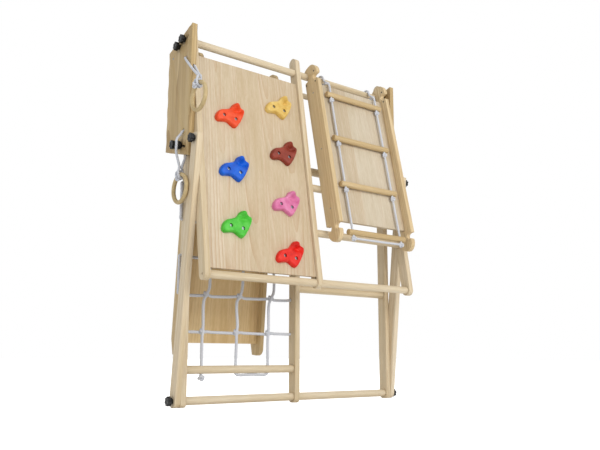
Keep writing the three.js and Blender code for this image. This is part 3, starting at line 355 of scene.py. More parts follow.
# Moulded, cast and plated finishes: clouds of colour, a gloss that follows the clouds or the grit, and bumps of grit;
# noises in waves per metre, with their detail
def mouldedFinish(name, look, stops):
    finish, add, shader = newFinish(name)
    where = add("TexCoord").outputs["Object"]
    noises = {label: add("TexNoise", {"Scale": look[label][0], "Detail": look[label][1]}, Vector=where)
              for label in ("cloud", "grit") if label in look}
    shade = colourRamp(add, noises["cloud"], stops)
    follows, low, high = look["gloss"]
    gloss = add("MapRange", {"To Min": low, "To Max": high}, Value=noises[follows])
    bump = None
    if "bump" in look:
        strength, depth = look["bump"]
        bump = add("Bump", {"Strength": strength, "Distance": depth}, Height=noises["grit"]).outputs[0]
    feed(shader, shade.outputs[0], gloss.outputs[0], bump, look["values"])
    return finish


# Injection-moulded polypropylene, black: fine spark-eroded texture, soft highlight
knobLook = {"cloud": (60.0, 2.0), "grit": (2200.0, 2.0), "gloss": ("grit", 0.32, 0.48), "bump": (0.2, 0.0001),
            "values": {"IOR": 1.49, "Specular IOR Level": 0.3}}
# Cast polyurethane climbing hold: satin skin with a light sand texture
holdLook = {"cloud": (38.0, 3.0), "grit": (1300.0, 3.0), "gloss": ("cloud", 0.42, 0.56), "bump": (0.25, 0.0002),
            "values": {"IOR": 1.5, "Specular IOR Level": 0.3, "Coat Weight": 0.05, "Coat Roughness": 0.35}}
# Zinc-plated steel screw: bluish grey, fine turning marks
zincLook = {"cloud": (900.0, 2.0), "gloss": ("cloud", 0.28, 0.45), "values": {"Metallic": 1.0}}
ropeWhite = ropeFinish("laid polyester rope, white")
knobBlack = mouldedFinish("moulded polypropylene, black", knobLook, [(0.3, "#0a0a0b"), (0.7, "#131314")])
zincSteel = mouldedFinish("zinc-plated steel screw", zincLook, [(0.3, "#6f7478"), (0.7, "#a6abaf")])
print("finishes made")


# Even points along a smooth curve through the given ones
def smoothPath(points, step, closed=False):
    spots = [Vector(point) for point in points]
    if closed:
        spots = [spots[-1]] + spots + [spots[0], spots[1]]
    else:
        spots = [2 * spots[0] - spots[1]] + spots + [2 * spots[-1] - spots[-2]]
    dense = []
    for a, b, c, d in zip(spots, spots[1:], spots[2:], spots[3:]):
        t1 = max((b - a).length, 1e-6) ** 0.5
        t2 = t1 + max((c - b).length, 1e-6) ** 0.5
        t3 = t2 + max((d - c).length, 1e-6) ** 0.5
        for part in range(12):
            t = t1 + (t2 - t1) * part / 12
            a1 = a * ((t1 - t) / t1) + b * (t / t1)
            a2 = b * ((t2 - t) / (t2 - t1)) + c * ((t - t1) / (t2 - t1))
            a3 = c * ((t3 - t) / (t3 - t2)) + d * ((t - t2) / (t3 - t2))
            b1 = a1 * ((t2 - t) / t2) + a2 * (t / t2)
            b2 = a2 * ((t3 - t) / (t3 - t1)) + a3 * ((t - t1) / (t3 - t1))
            dense.append(b1 * ((t2 - t) / (t2 - t1)) + b2 * ((t - t1) / (t2 - t1)))
    dense.append(spots[-2].copy())
    lengths = [0.0]
    for first, second in zip(dense, dense[1:]):
        lengths.append(lengths[-1] + (second - first).length)
    count = max(3, round(lengths[-1] / step))
    even = []
    segment = 0
    for index in range(count + 1):
        target = lengths[-1] * index / count
        while segment < len(lengths) - 2 and lengths[segment + 1] < target:
            segment += 1
        span = max(lengths[segment + 1] - lengths[segment], 1e-9)
        even.append(dense[segment].lerp(dense[segment + 1], (target - lengths[segment]) / span))
    return even


def pathLength(path):
    return sum((b - a).length for a, b in zip(path, path[1:]))


# Skin of a rope of three strands, swept along a path: the section has three lobes and turns once in each lay
rope = {"sides": 15, "groove": 0.05, "layWidths": 3.4, "step": 0.0026, "knotStep": 0.0024}


def ropeSkin(name, path, width=climber["ropeWidth"], closed=False):
    spots = path[:-1] if closed else path
    count = len(spots)
    sides = rope["sides"]
    mesh = bmesh.new()
    loops = []
    normal = None
    run = 0.0
    lay = rope["layWidths"] * width
    total = pathLength(path)
    if closed:
        lay = total / max(1, round(total / lay))
    runs = []
    for index, spot in enumerate(spots):
        before = spots[index - 1] if index or closed else spot
        after = spots[(index + 1) % count] if index + 1 < count or closed else spot
        along = (after - before).normalized()
        if normal is None:
            normal = along.orthogonal().normalized()
        normal = (normal - along * normal.dot(along)).normalized()
        other = along.cross(normal)
        if index:
            run += (spot - spots[index - 1]).length
        runs.append(run)
        turn = run / lay * 2 * math.pi
        loop = []
        for side in range(sides):
            angle = side / sides * 2 * math.pi
            radius = width / 2 * (1 - rope["groove"] + rope["groove"] * math.cos(3 * (angle - turn)))
            loop.append(mesh.verts.new(spot + normal * math.cos(angle) * radius + other * math.sin(angle) * radius))
        loops.append(loop)
    uv = mesh.loops.layers.uv.new("lay")

    def band(first, second, runFirst, runSecond, shift=0):
        for side in range(sides):
            corner = (side + 1) % sides
            face = mesh.faces.new((first[side], first[corner], second[(corner + shift) % sides],
                                   second[(side + shift) % sides]))
            places = [(side, runFirst), (side + 1, runFirst), (side + 1, runSecond), (side, runSecond)]
            for loopCorner, (across, length) in zip(face.loops, places):
                loopCorner[uv].uv = (across / sides * math.pi, length / width)

    for index in range(count - 1):
        band(loops[index], loops[index + 1], runs[index], runs[index + 1])
    if closed:
        shift = min(range(sides), key=lambda s: sum((loops[0][(k + s) % sides].co - loops[-1][k].co).length
                                                    for k in range(sides)))
        band(loops[-1], loops[0], runs[-1], total, shift)
    else:
        for loop, order in ((loops[0], -1), (loops[-1], 1)):
            middle = sum((vert.co for vert in loop), Vector()) / sides
            tip = mesh.verts.new(middle)
            for side in range(sides):
                corner = (side + 1) % sides
                pair = (loop[side], loop[corner]) if order > 0 else (loop[corner], loop[side])
                mesh.faces.new((*pair, tip))
    data = bpy.data.meshes.new(name)
    mesh.to_mesh(data)
    mesh.free()
    for polygon in data.polygons:
        polygon.use_smooth = True
    data.materials.append(ropeWhite)
    piece = bpy.data.objects.new(name, data)
    bpy.context.scene.collection.objects.link(piece)
    return piece


# Overhand knot drawn tight: a trefoil of the same rope, squeezed
knotShape = {"width": 0.0078, "points": 36, "flat": 0.62}


def knotSkin(name, middle, reach, along=(0, 0, 1), deep=1.0, thick=None):
    lift = Vector(along).normalized()
    side = lift.orthogonal().normalized()
    face = lift.cross(side)
    path = []
    thick = thick or knotShape["width"]
    turn = reach - thick / 2
    for index in range(knotShape["points"]):
        t = index / knotShape["points"] * 2 * math.pi
        x = (math.sin(t) + 2 * math.sin(2 * t)) / 3
        y = (math.cos(t) - 2 * math.cos(2 * t)) / 3
        z = -math.sin(3 * t)
        path.append(Vector(middle) + side * x * turn + face * y * turn + lift * z * turn * knotShape["flat"] * deep)
    return ropeSkin(name, smoothPath(path, rope["knotStep"], closed=True), thick, closed=True)


# Route of each free rope, the points its solid follows, in metres
ladder = {
    "leftX": 0.141,
    "rightX": 0.409,
    "rungDrops": [0.098, 0.312, 0.526, 0.740],      # down the ramp's face from its dowel
    "plane": 0.0501,          # ahead of the ramp's dowel
    "nooseOut": 0.0094,       # the noose starts beside the rope that comes back to its knot
    "noosePoints": 13,
    "nooseKnot": {"ahead": 0.044, "drop": 0.036, "reach": 0.0088, "thick": 0.0062},
    "knot": {"below": 0.0262, "reach": 0.0122, "deep": 1.5},
    "points": [
        (-0.0505, 1.3595), (-0.0352, 1.3602), (-0.0199, 1.3618), (-0.0040, 1.3628), (0.0105, 1.3663),
        (0.0187, 1.3784), (0.0210, 1.3924), (0.0118, 1.4035), (-0.0031, 1.4074), (-0.0166, 1.4003),
        (-0.0223, 1.3864), (-0.0310, 1.3742), (-0.0445, 1.3652), (-0.0560, 1.3550), (-0.0619, 1.3406),
        (-0.0674, 1.3103), (-0.0736, 1.2803), (-0.0865, 1.2201), (-0.0993, 1.1598), (-0.1122, 1.0996),
        (-0.1250, 1.0395), (-0.1378, 0.9793), (-0.1507, 0.9191), (-0.1635, 0.8589), (-0.1763, 0.7987),
        (-0.1892, 0.7385), (-0.2020, 0.6783),
    ],
    "end": (-0.2084, 0.6483),
    # the left rope's turn under the last rung and its run across to the right one, from its end
    "across": [
        (0.1410, 0.0035, 0.0165), (0.1438, 0.0012, 0.0058), (0.1505, 0.0001, 0.0006), (0.1610, 0.0, -0.0004),
        (0.2000, 0.0, -0.0004), (0.2600, 0.0, -0.0005), (0.3300, 0.0, -0.0004), (0.3994, 0.0, 0.0),
    ],
}


def ladderRoute(x, outward):
    points = []
    for index, (y, z) in enumerate(ladder["points"]):
        share = max(0.0, 1 - index / ladder["noosePoints"])
        points.append((x + outward * ladder["nooseOut"] * share, y, z))
    return points


endY, endZ = ladder["end"]
ladderRight = ladderRoute(ladder["rightX"], 1) + [(ladder["rightX"], endY, endZ)]
ladderLeft = ladderRoute(ladder["leftX"], -1) + [(x, endY + y, endZ + z) for x, y, z in ladder["across"]]
ringUpperRoute = [
    (-0.5352, -0.1225, 1.1990), (-0.5348, -0.1145, 1.2032), (-0.5354, -0.1071, 1.2110), (-0.5363, -0.0996, 1.2179),
    (-0.5372, -0.0921, 1.2257), (-0.5380, -0.0847, 1.2335), (-0.5387, -0.0772, 1.2413), (-0.5393, -0.0697, 1.2492),
    (-0.5396, -0.0622, 1.2570), (-0.5399, -0.0547, 1.2648), (-0.5401, -0.0397, 1.2805), (-0.5401, -0.0322, 1.2884),
    (-0.5397, -0.0247, 1.2962), (-0.5378, -0.0175, 1.3039), (-0.5287, -0.0140, 1.3075), (-0.5198, -0.0177, 1.3036),
    (-0.5180, -0.0250, 1.2960), (-0.5176, -0.0325, 1.2881), (-0.5175, -0.0400, 1.2803), (-0.5175, -0.0475, 1.2724),
    (-0.5177, -0.0550, 1.2646), (-0.5180, -0.0625, 1.2567), (-0.5186, -0.0699, 1.2489), (-0.5194, -0.0774, 1.2411),
    (-0.5206, -0.0849, 1.2333), (-0.5219, -0.0923, 1.2255), (-0.5233, -0.0997, 1.2177), (-0.5248, -0.1071, 1.2110),
    (-0.5256, -0.1146, 1.2032), (-0.5256, -0.1225, 1.1990),
]
ringLowerRoute = [
    (-0.5470, -0.0200, 0.8680), (-0.5484, -0.0189, 0.8748), (-0.5505, -0.0178, 0.8853), (-0.5532, -0.0167, 0.8957),
    (-0.5558, -0.0156, 0.9061), (-0.5581, -0.0146, 0.9167), (-0.5597, -0.0140, 0.9274), (-0.5602, -0.0137, 0.9381),
    (-0.5599, -0.0139, 0.9489), (-0.5597, -0.0140, 0.9597), (-0.5604, -0.0140, 0.9705), (-0.5569, -0.0140, 0.9806),
    (-0.5505, -0.0140, 0.9893), (-0.5437, -0.0140, 0.9977), (-0.5385, -0.0140, 1.0070), (-0.5313, -0.0140, 1.0142),
    (-0.5214, -0.0140, 1.0113), (-0.5182, -0.0140, 1.0012), (-0.5180, -0.0140, 0.9904), (-0.5182, -0.0140, 0.9796),
    (-0.5184, -0.0140, 0.9687), (-0.5185, -0.0140, 0.9579), (-0.5181, -0.0139, 0.9471), (-0.5176, -0.0138, 0.9363),
    (-0.5186, -0.0140, 0.9257), (-0.5211, -0.0148, 0.9151), (-0.5244, -0.0157, 0.9048), (-0.5280, -0.0168, 0.8947),
    (-0.5318, -0.0179, 0.8846), (-0.5352, -0.0190, 0.8748), (-0.5374, -0.0200, 0.8680),
]


def freeRope(name, route, node, knots):
    path = smoothPath(route, rope["step"])
    piece = ropeSkin(name, path)
    for part in (piece, *knots):
        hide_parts(node)
    return piece


rampDown = Vector((0, math.sin(math.radians(climber["rampLean"])), -math.cos(math.radians(climber["rampLean"]))))


# Point given by how far it is ahead of the ramp's dowel and down its face
def onRamp(x, forward, drop):
    turn = Matrix.Rotation(math.radians(climber["rampLean"]), 3, "X")
    spot = turn @ Vector((x, -forward, -drop))
    return Vector((spot.x, spot.y, spot.z + climber["frontPivot"]))


for side, x, route in (("left", ladder["leftX"], ladderLeft), ("right", ladder["rightX"], ladderRight)):
    noose, tied = ladder["nooseKnot"], ladder["knot"]
    knots = [knotSkin(f"ladder_{side}_noose_knot", onRamp(x, noose["ahead"], noose["drop"]), noose["reach"],
                      along=rampDown, thick=noose["thick"])]
    for number, drop in enumerate(ladder["rungDrops"]):
        knots.append(knotSkin(f"ladder_{side}_knot_{number + 1}", onRamp(x, ladder["plane"], drop + tied["below"]),
                              tied["reach"], along=rampDown, deep=tied["deep"]))
    strand = freeRope(f"ladder_{side}_rope", route, f"ladder_rope_{side}", knots)
    for piece in (*knots, strand):
        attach(piece, "rope_ladder")


rings = {
    "upper": {"middle": (-0.5306, -0.1220, 1.1175), "route": ringUpperRoute, "eye": (-0.5226, -0.0140, 1.3075)},
    "lower": {"middle": (-0.5422, -0.0200, 0.7875), "route": ringLowerRoute, "eye": (-0.5226, -0.0140, 1.0145)},
}
ringShape = {"across": 0.120, "bar": 0.016}
hitch = {
    "rope": 0.0100,
    "knotReach": 0.0138,
    "knotRope": 0.0090,
    "outward": {"upper": 0.0140, "lower": 0.0085},      # the knot's place beside the ring
    "ahead": 0.003, "under": 0.012, "along": (0.3, 1, 0.4), "deep": 1.3,
    "over": 0.0205,                                     # where the strands meet, above the bar's middle
    # down from one strand, two turns round the top of the ring, and up into the other, from the bar's middle there
    "turns": [
        (-0.0100, -0.0060, 0.0180), (-0.0142, -0.0085, 0.0040), (-0.0085, -0.0090, -0.0120),
        (0.0040, -0.0075, -0.0140), (0.0128, -0.0040, -0.0040), (0.0118, 0.0002, 0.0085), (0.0000, 0.0030, 0.0142),
        (-0.0120, 0.0050, 0.0080), (-0.0138, 0.0060, -0.0040), (-0.0030, 0.0078, -0.0140),
        (0.0092, 0.0085, -0.0108), (0.0140, 0.0085, 0.0020), (0.0105, 0.0055, 0.0150),
    ],
}
for level, ring in rings.items():
    middle = Vector(ring["middle"])
    reach = ringShape["across"] / 2 - ringShape["bar"] / 2
    top = middle + Vector((0, 0, reach))
    turnPath = [ring["route"][0], *[top + Vector(spot) for spot in hitch["turns"]], ring["route"][-1]]
    turns = ropeSkin(f"ring_{level}_hitch", smoothPath(turnPath, rope["knotStep"]), hitch["rope"])
    beside = top + Vector((-hitch["outward"][level], hitch["ahead"], -hitch["under"]))
    knots = [turns, knotSkin(f"ring_{level}_knot", beside, hitch["knotReach"], along=hitch["along"],
                             deep=hitch["deep"], thick=hitch["knotRope"])]
    for piece in knots:
        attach(piece, f"ring_{level}")
    strand = freeRope(f"ring_{level}_rope", ring["route"], f"ring_rope_{level}", knots)
    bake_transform(strand)
    deselectAll()
    bpy.ops.mesh.primitive_torus_add(location=middle, rotation=alongX, major_segments=72, minor_segments=24,
                                     major_radius=reach, minor_radius=ringShape["bar"] / 2)
    smoothByAngle(bpy.context.object, 60)
    settle(bpy.context.object, f"ring_{level}_turned", f"ring_{level}", [f"ring_{level}"], beechRing)
print("ropes, knots and rings made")


net = {
    "rows": [0.26875, 0.4065, 0.54425, 0.682, 0.81975],
    "columns": [-0.396, -0.250, -0.104],
    "rowY": 0.0125,
    "left": -0.518,
    "right": 0.018,
    "low": 0.1109,
    "high": 0.9776,
    "sag": 0.0035,
    "sagWave": (0.4, 2.1, 30),         # how much spans differ, from row to row and along a row
    "sway": 0.002,
    "swayWave": (23, 1.7),             # up a column and from column to column
    "post": 0.5,
    "spanFrom": 0.05,      # shorter spans don't sag
    "rope": 0.0115,        # pulled tight round its knots it swells a little
    "shift": [-0.025, -0.022, 0.0, 0.0, 0.0, 0.0],    # how far each column stands aside below each row, and above all
    "stepAside": 0.024,    # above and below a row, where a column has its new place
    "drops": (0.001, 0.0055),      # even and odd rows hang lower behind a knot
    "fall": ((0.10, 1.0), (0.32, 0.9), (0.68, 0.35), (0.90, -0.3)),      # share of the span, share of the drop
    "link": 0.012,         # from a row to its turn up the post
    "corner": 0.008,
    "ends": (0.006, 0.045),        # first and last points of a column, from the dowel it turns round
    "knot": {"reach": 0.0128, "along": (0.1, 1, 0.3), "deep": 1.15, "thick": 0.0092},
    "knotTop": 0.1070,     # where the first column leaves the knot at its lower end
    "endKnot": {"height": 0.1030, "reach": 0.0140, "along": (0.2, -0.5, 1), "deep": 1.15, "thick": 0.0100},
    "stop": {"reach": 0.0085, "deep": 1.15},
    "stops": [((-0.104, 0.0, 0.9821), (0, 0, 1)), ((-0.5171, 0.0125, 0.26875), (1, 0, 0)),
              ((0.0171, 0.0125, 0.81975), (1, 0, 0))],
}


# The rows are one rope that goes to and fro between the posts
def netRows():
    route = []
    levels = net["rows"]
    y = net["rowY"]
    uneven, byRow, byPlace = net["sagWave"]
    xs = [net["left"], -net["post"], *net["columns"], 0.0, net["right"]]
    for number, height in enumerate(levels):
        spots = []
        for first, second in zip(xs, xs[1:]):
            spots.append((first, y, height))
            if second - first > net["spanFrom"]:
                sag = net["sag"] * (1 + uneven * math.sin(number * byRow + (first + second) / 2 * byPlace))
                for share, fall in net["fall"]:
                    lower = sag * share + net["drops"][number % 2] * fall
                    spots.append((first + (second - first) * share, y, height - lower))
        spots.append((net["right"], y, height))
        if number % 2 == 1:
            spots.reverse()
        # the link to the next row bows out a little beyond the post
        if number + 1 < len(levels):
            x = net["right"] if number % 2 == 0 else net["left"]
            above = levels[number + 1]
            spots += [(x, y, height + net["link"]), (x, y, (height + above) / 2), (x, y, above - net["link"])]
        route += spots
    return ropeSkin("net_rows", smoothPath(route, rope["step"]), net["rope"])


# The columns are one rope too, up, down and up again through the dowels
def netColumns():
    route = []
    low, high, shift, step = net["low"], net["high"], net["shift"], net["stepAside"]
    near, far = net["ends"]
    byHeight, byColumn = net["swayWave"]
    for number, x in enumerate(net["columns"]):
        spots = [(x + shift[0], 0.0, low + near if number else net["knotTop"]), (x + shift[0], 0.0, low + far)]
        for index, height in enumerate(net["rows"]):
            sway = net["sway"] * math.sin(height * byHeight + number * byColumn)
            below, above = shift[index:index + 2]
            spots += [(x + below + sway, 0.0, height - step), (x + (below + above) / 2, 0.0, height),
                      (x + above + sway, 0.0, height + step)]
        spots += [(x + shift[-1], 0.0, high - far), (x + shift[-1], 0.0, high - near)]
        if number % 2 == 1:
            spots.reverse()
        route += spots
        if number + 1 < len(net["columns"]):
            level = high if number % 2 == 0 else low
            start = x + (shift[-1] if number % 2 == 0 else shift[0])
            following = start + net["columns"][number + 1] - x
            route += [(start + net["corner"], 0.0, level), ((start + following) / 2, 0.0, level),
                      (following - net["corner"], 0.0, level)]
    return ropeSkin("net_columns", smoothPath(route, rope["step"]), net["rope"])


def netRopes():
    pieces = [netRows(), netColumns()]
    for number, x in enumerate(net["columns"]):
        for row, height in enumerate(net["rows"]):
            aside = (net["shift"][row] + net["shift"][row + 1]) / 2
            pieces.append(knotSkin(f"net_knot_{number}_{row}", (x + aside, net["rowY"] / 2, height), **net["knot"]))
    end = dict(net["endKnot"])
    pieces.append(knotSkin("net_stop_0", (net["columns"][0] + net["shift"][0], 0.0, end.pop("height")), **end))
    for number, (spot, along) in enumerate(net["stops"]):
        pieces.append(knotSkin(f"net_stop_{number + 1}", spot, along=along, **net["stop"]))
    return joinAll(pieces)


settle(netRopes(), "net_laid_rope", "rear_frame", ["climbing_net"])
print("net made")


# Copy of a solid with its edges eased
def roundedCopy(node, width):
    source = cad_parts[node]
    piece = bpy.data.objects.new(node + "_dressed", source.data.copy())
    bpy.context.scene.collection.objects.link(piece)
    cleanMesh(piece, bpy.ops.mesh.dissolve_limited, angle_limit=math.radians(0.6))
    easeEdges(piece, width, angle_limit=math.radians(50))
    smoothByAngle(piece)
    return piece


sanded = {"edge": 0.0022, "rampEdge": 0.0028}
for kind, labels, body, slotName, finish in (
        ("rear_post", ("left", "middle", "right"), "rear_frame", "frame_timber", pineUpright),
        ("leaf_rail", ("left", "middle", "right"), "leaf", "frame_timber", pineLeaf),
        ("side_board", ("left", "right"), "boards", "board_timber", pineBoard),
        ("base_bar", ("left", "right"), None, "board_timber", pineBar),
        ("ramp_rail", ("left", "right"), "ramp", "frame_timber", pineRamp),
        ("slide_rail", ("left", "right"), "slide", "frame_timber", pineSlide)):
    for label in labels:
        node = f"{kind}_{label}"
        piece = roundedCopy(node, sanded["rampEdge" if body == "ramp" else "edge"])
        settle(piece, node + "_sanded", body or node, [node], finish)


# the wall panel, one board let into the rails; the nuts and washers behind it come with the holds
wall = {"top": 0.060, "bottom": 0.9135, "left": -0.4947, "right": -0.0053, "front": -0.0105, "thick": 0.012,
        "edge": 0.0012}
deselectAll()
bpy.ops.mesh.primitive_cube_add(size=1.0)
wallPanel = bpy.context.object
wallPanel.scale = (wall["right"] - wall["left"], wall["thick"], wall["bottom"] - wall["top"])
bpy.ops.object.transform_apply(scale=True)
bpy.ops.object.mode_set(mode="EDIT")
bpy.ops.mesh.subdivide(number_cuts=3)
bpy.ops.object.mode_set(mode="OBJECT")
easeEdges(wallPanel, wall["edge"])
smoothByAngle(wallPanel)
leafTurn = Matrix.Rotation(math.radians(climber["leafLean"]), 4, "X")
leafPlace = Matrix.Translation((0, 0, climber["frontPivot"])) @ leafTurn
wallMiddle = ((wall["left"] + wall["right"]) / 2, wall["front"] + wall["thick"] / 2,
              -(wall["top"] + wall["bottom"]) / 2)
place(wallPanel, leafPlace @ Matrix.Translation(wallMiddle))
settle(wallPanel, "climbing_panel_glued", "leaf", ["climbing_panel"], panelLeaf)
print("timber made")


# shares of the head's radius and depth
screwShape = {"sides": 28, "dome": 0.22, "socket": 0.48, "socketAt": 0.6}


# Domed screw head that looks along +X, its hexagon socket open
def socketScrew(radius, depth):
    head = turnedBar(screwShape["sides"], radius, depth, turn=alongX)
    easeEdges(head, radius * screwShape["dome"], 3)
    cutOut(head, turnedBar(6, radius * screwShape["socket"], depth, (depth * screwShape["socketAt"], 0, 0), alongX))
    dress(head, zincSteel)
    smoothByAngle(head)
    return head


# Copies of a screw, each with its place and the side it looks to: 1 for +X, -1 for -X
def screwsAt(screw, places):
    return [copyOf(screw, Matrix.Translation(spot) @ Matrix.Rotation(math.pi if side < 0 else 0, 4, "Z"))
            for side, spot in places]


dowelShape = {"sides": 44, "chamfer": 0.0014, "rung": 0.0125, "rungChamfer": 0.0022}
# holes of the net's columns: their height in each dowel, and how far aside of the column
netHole = {"sides": 20, "radius": 0.0056, "length": 0.06}
netHoles = {"rear_dowel_top": (climber["rearPivot"], net["shift"][-1]), "net_dowel": (0.131, net["shift"][0])}


def dowel(node, body, radius, chamfer, finish):
    low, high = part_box(node)
    piece = turnedBar(dowelShape["sides"], radius, high.x - low.x, (low + high) / 2, alongX)
    easeEdges(piece, chamfer)
    if node in netHoles:
        height, aside = netHoles[node]
        for x in net["columns"]:
            cutOut(piece, turnedBar(netHole["sides"], netHole["radius"], netHole["length"], (x + aside, 0, height)))
    smoothByAngle(piece)
    settle(piece, node + "_turned", body, [node], finish)


for body, nodes in (("rear_frame", ("rear_dowel_top", "rear_dowel_bottom", "net_dowel", "rear_rung")),
                    ("leaf", ("leaf_dowel_top", "leaf_dowel_bottom", "leaf_rung_upper", "leaf_rung_lower"))):
    for node in nodes:
        dowel(node, body, climber["dowelRadius"], dowelShape["chamfer"], pineAcross)
for number in range(len(ladder["rungDrops"])):
    dowel(f"ladder_rung_{number + 1}", "rope_ladder", dowelShape["rung"], dowelShape["rungChamfer"], pineRung)

crossBar = {"sides": 40, "radius": 0.0125, "clear": 0.0003, "screwSunk": 0.0012}
screw = socketScrew(0.0052, 0.0032)
for node in ("cross_bar_upper", "cross_bar_lower"):
    low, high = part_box(node)
    x, y, z = (low + high) / 2
    piece = turnedBar(crossBar["sides"], crossBar["radius"], 2 * (climber["boardIn"] - crossBar["clear"]), (0, y, z),
                      alongX)
    smoothByAngle(piece)
    dress(piece, pineAcross)
    reach = climber["boardOut"] - crossBar["screwSunk"]
    heads = screwsAt(screw, [(side, (side * reach, y, z)) for side in (-1, 1)])
    settle(joinAll([piece, *heads]), node + "_screwed", "boards", [node])


# ramp and slide: panels screwed between two rails, whose hooks have blind plugs in their pin holes, black dots there
slideHang = {"bar": (0.097, -0.042), "aside": (0.056, 0.026), "lower": 0.00024}      # upper cross bar, rails from it
barY, barZ = slideHang["bar"]
railY, railZ = slideHang["aside"]
slideTurn = Matrix.Rotation(math.radians(climber["slideLean"]), 3, "X")
slideOrigin = (Vector((0, barY, climber["frontPivot"] + barZ))
               + slideTurn @ Vector((0, railY, railZ - slideHang["lower"])))
hung = {
    "ramp": {"finish": panelRamp, "lean": climber["rampLean"], "origin": Vector((0, 0, climber["frontPivot"])),
             "rails": [(0.058, 0.078), (0.462, 0.482)], "screws": (0.046, 0.690)},
    "slide": {"finish": panelSlide, "lean": climber["slideLean"], "origin": slideOrigin,
              "rails": [(-0.420, -0.405), (-0.047, -0.032)], "screws": (0.046, 1.145)},
}
panelScrewAt = {"ahead": 0.031, "sunk": 0.0010, "edge": 0.0009, "shares": (0.08, 0.5, 0.92)}
pinPlug = {"sides": 20, "radius": 0.0038, "proud": 0.0003, "edge": 0.0005,
           "places": [(-0.056, -0.0005), (-0.056, -0.0515), (0.004, 0.021), (0.004, -0.042)]}
panelScrew = socketScrew(0.0036, 0.0026)
for label, deck in hung.items():
    piece = roundedCopy(f"{label}_panel", panelScrewAt["edge"])
    dress(piece, deck["finish"])
    turn = Matrix.Rotation(math.radians(deck["lean"]), 3, "X")
    top, bottom = deck["screws"]
    places = []
    for side, face in ((-1, deck["rails"][0][0]), (1, deck["rails"][1][1])):
        for share in panelScrewAt["shares"]:
            inRail = (face - side * panelScrewAt["sunk"], -panelScrewAt["ahead"], -(top + (bottom - top) * share))
            places.append((side, turn @ Vector(inRail) + deck["origin"]))
    settle(joinAll([piece, *screwsAt(panelScrew, places)]), f"{label}_panel_screwed", label, [f"{label}_panel"])
for label, deck in hung.items():
    turn = Matrix.Rotation(math.radians(deck["lean"]), 3, "X")
    made = []
    for low, high in deck["rails"]:
        for y, z in pinPlug["places"]:
            spot = turn @ Vector(((low + high) / 2, y, z)) + deck["origin"]
            plug = turnedBar(pinPlug["sides"], pinPlug["radius"], high - low + 2 * pinPlug["proud"], spot, alongX)
            easeEdges(plug, pinPlug["edge"])
            smoothByAngle(plug)
            made.append(plug)
    settle(joinAll(made), label + "_pin_plugs", label, (), knobBlack)
bpy.data.objects.remove(panelScrew)
bpy.data.objects.remove(screw)
print("dowels, panels and screws made")


knob = {
    "radius": 0.0175, "lobeDepth": 0.0042, "lobes": 7, "head": 0.013, "edge": 0.0013,
    "rim": 0.0040, "rimUp": 0.0010, "dish": 0.0026, "dishDown": 0.0007,      # raised ring and dish of the cap
    "hub": 0.011, "hubHeight": 0.007, "hubEdge": 0.0012, "stud": 0.004, "studEdge": 0.0008,
    "overlap": 0.002,      # hub and stud run this far into what carries them
}


# Its lobed head, its hub and its stud along +Z, then turned to look out of its side
def starKnob(node):
    low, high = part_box(node)
    side = -1 if low.x < 0 else 1
    middle = (low + high) / 2
    outer, inner = (low.x, high.x) if side < 0 else (high.x, low.x)
    overlap = knob["overlap"]
    head = turnedBar(knob["lobes"] * 10, knob["radius"], knob["head"])
    for vert in head.data.vertices:
        angle = math.atan2(vert.co.y, vert.co.x)
        cut = knob["lobeDepth"] * (1 - abs(math.cos(angle * knob["lobes"] / 2)))
        vert.co.xy *= (knob["radius"] - cut) / knob["radius"]
    bpy.ops.object.mode_set(mode="EDIT")
    bpy.ops.mesh.select_all(action="DESELECT")
    bpy.ops.object.mode_set(mode="OBJECT")
    for face in head.data.polygons:
        face.select = face.normal.z > 0.9
    bpy.ops.object.mode_set(mode="EDIT")
    bpy.ops.mesh.select_mode(type="FACE")
    bpy.ops.mesh.inset(thickness=knob["rim"])
    bpy.ops.transform.translate(value=(0, 0, knob["rimUp"]))
    bpy.ops.mesh.inset(thickness=knob["dish"])
    bpy.ops.transform.translate(value=(0, 0, -knob["dishDown"]))
    bpy.ops.object.mode_set(mode="OBJECT")
    easeEdges(head, knob["edge"], 3, angle_limit=math.radians(70))
    smoothByAngle(head, 50)
    head.data.transform(Matrix.Translation((0, 0, knob["hubHeight"] + knob["head"] / 2)))
    hubLength = knob["hubHeight"] + overlap
    hub = turnedBar(36, knob["hub"], hubLength, (0, 0, hubLength / 2))
    reach = abs(outer - inner) - knob["head"] - knob["hubHeight"]
    stud = turnedBar(24, knob["stud"], reach + 2 * overlap, (0, 0, overlap - reach / 2))
    for part, edge in ((hub, knob["hubEdge"]), (stud, knob["studEdge"])):
        easeEdges(part, edge)
        smoothByAngle(part)
    for part, finish in ((head, knobBlack), (hub, knobBlack), (stud, zincSteel)):
        dress(part, finish)
    piece = joinAll([head, hub, stud])
    start = Vector((outer - side * (knob["head"] + knob["hubHeight"]), middle.y, middle.z))
    place(piece, Matrix.Translation(start) @ Matrix.Rotation(side * math.pi / 2, 4, "Y"))
    settle(piece, node + "_moulded", node, [node])


for kind in ("foot_knob", "rear_pivot_knob", "rear_lock_knob", "front_lock_knob", "front_pivot_knob", "bar_end_knob"):
    for label in ("left", "right"):
        starKnob(f"{kind}_{label}")
print("knobs made")


# cast in one mould, so one form is made and copied; measures in metres, the origin midway between the bolts
hold = {
    "plateau": 0.018,      # the flat face, out from the panel
    "edge": 0.0070,        # how far in the face rounds over into the wall
    "foot": 0.0060,
    "boltSpacing": 0.0525,
    "boltSeat": 0.0074,
    "seatFloor": 0.0100,   # the bolt's head lies this far out from the panel
    "seatLength": 0.030,
    "headUp": 0.0018,
    "heart": (0.002, 0, 0.008),      # where the spokes of the mesh start
    "rings": 60, "step": 0.0036,
    "rise": 0.85, "bulge": 0.01,     # how the rings of the face close up to its rim, and how far the wall swells
    "fixingEdge": 0.0004,
    "faceTo": 110, "wallTo": 125,    # degrees from the front where the face and the wall end
    "front": -0.0104,      # face of the climbing panel, from the leaf's middle plane
}
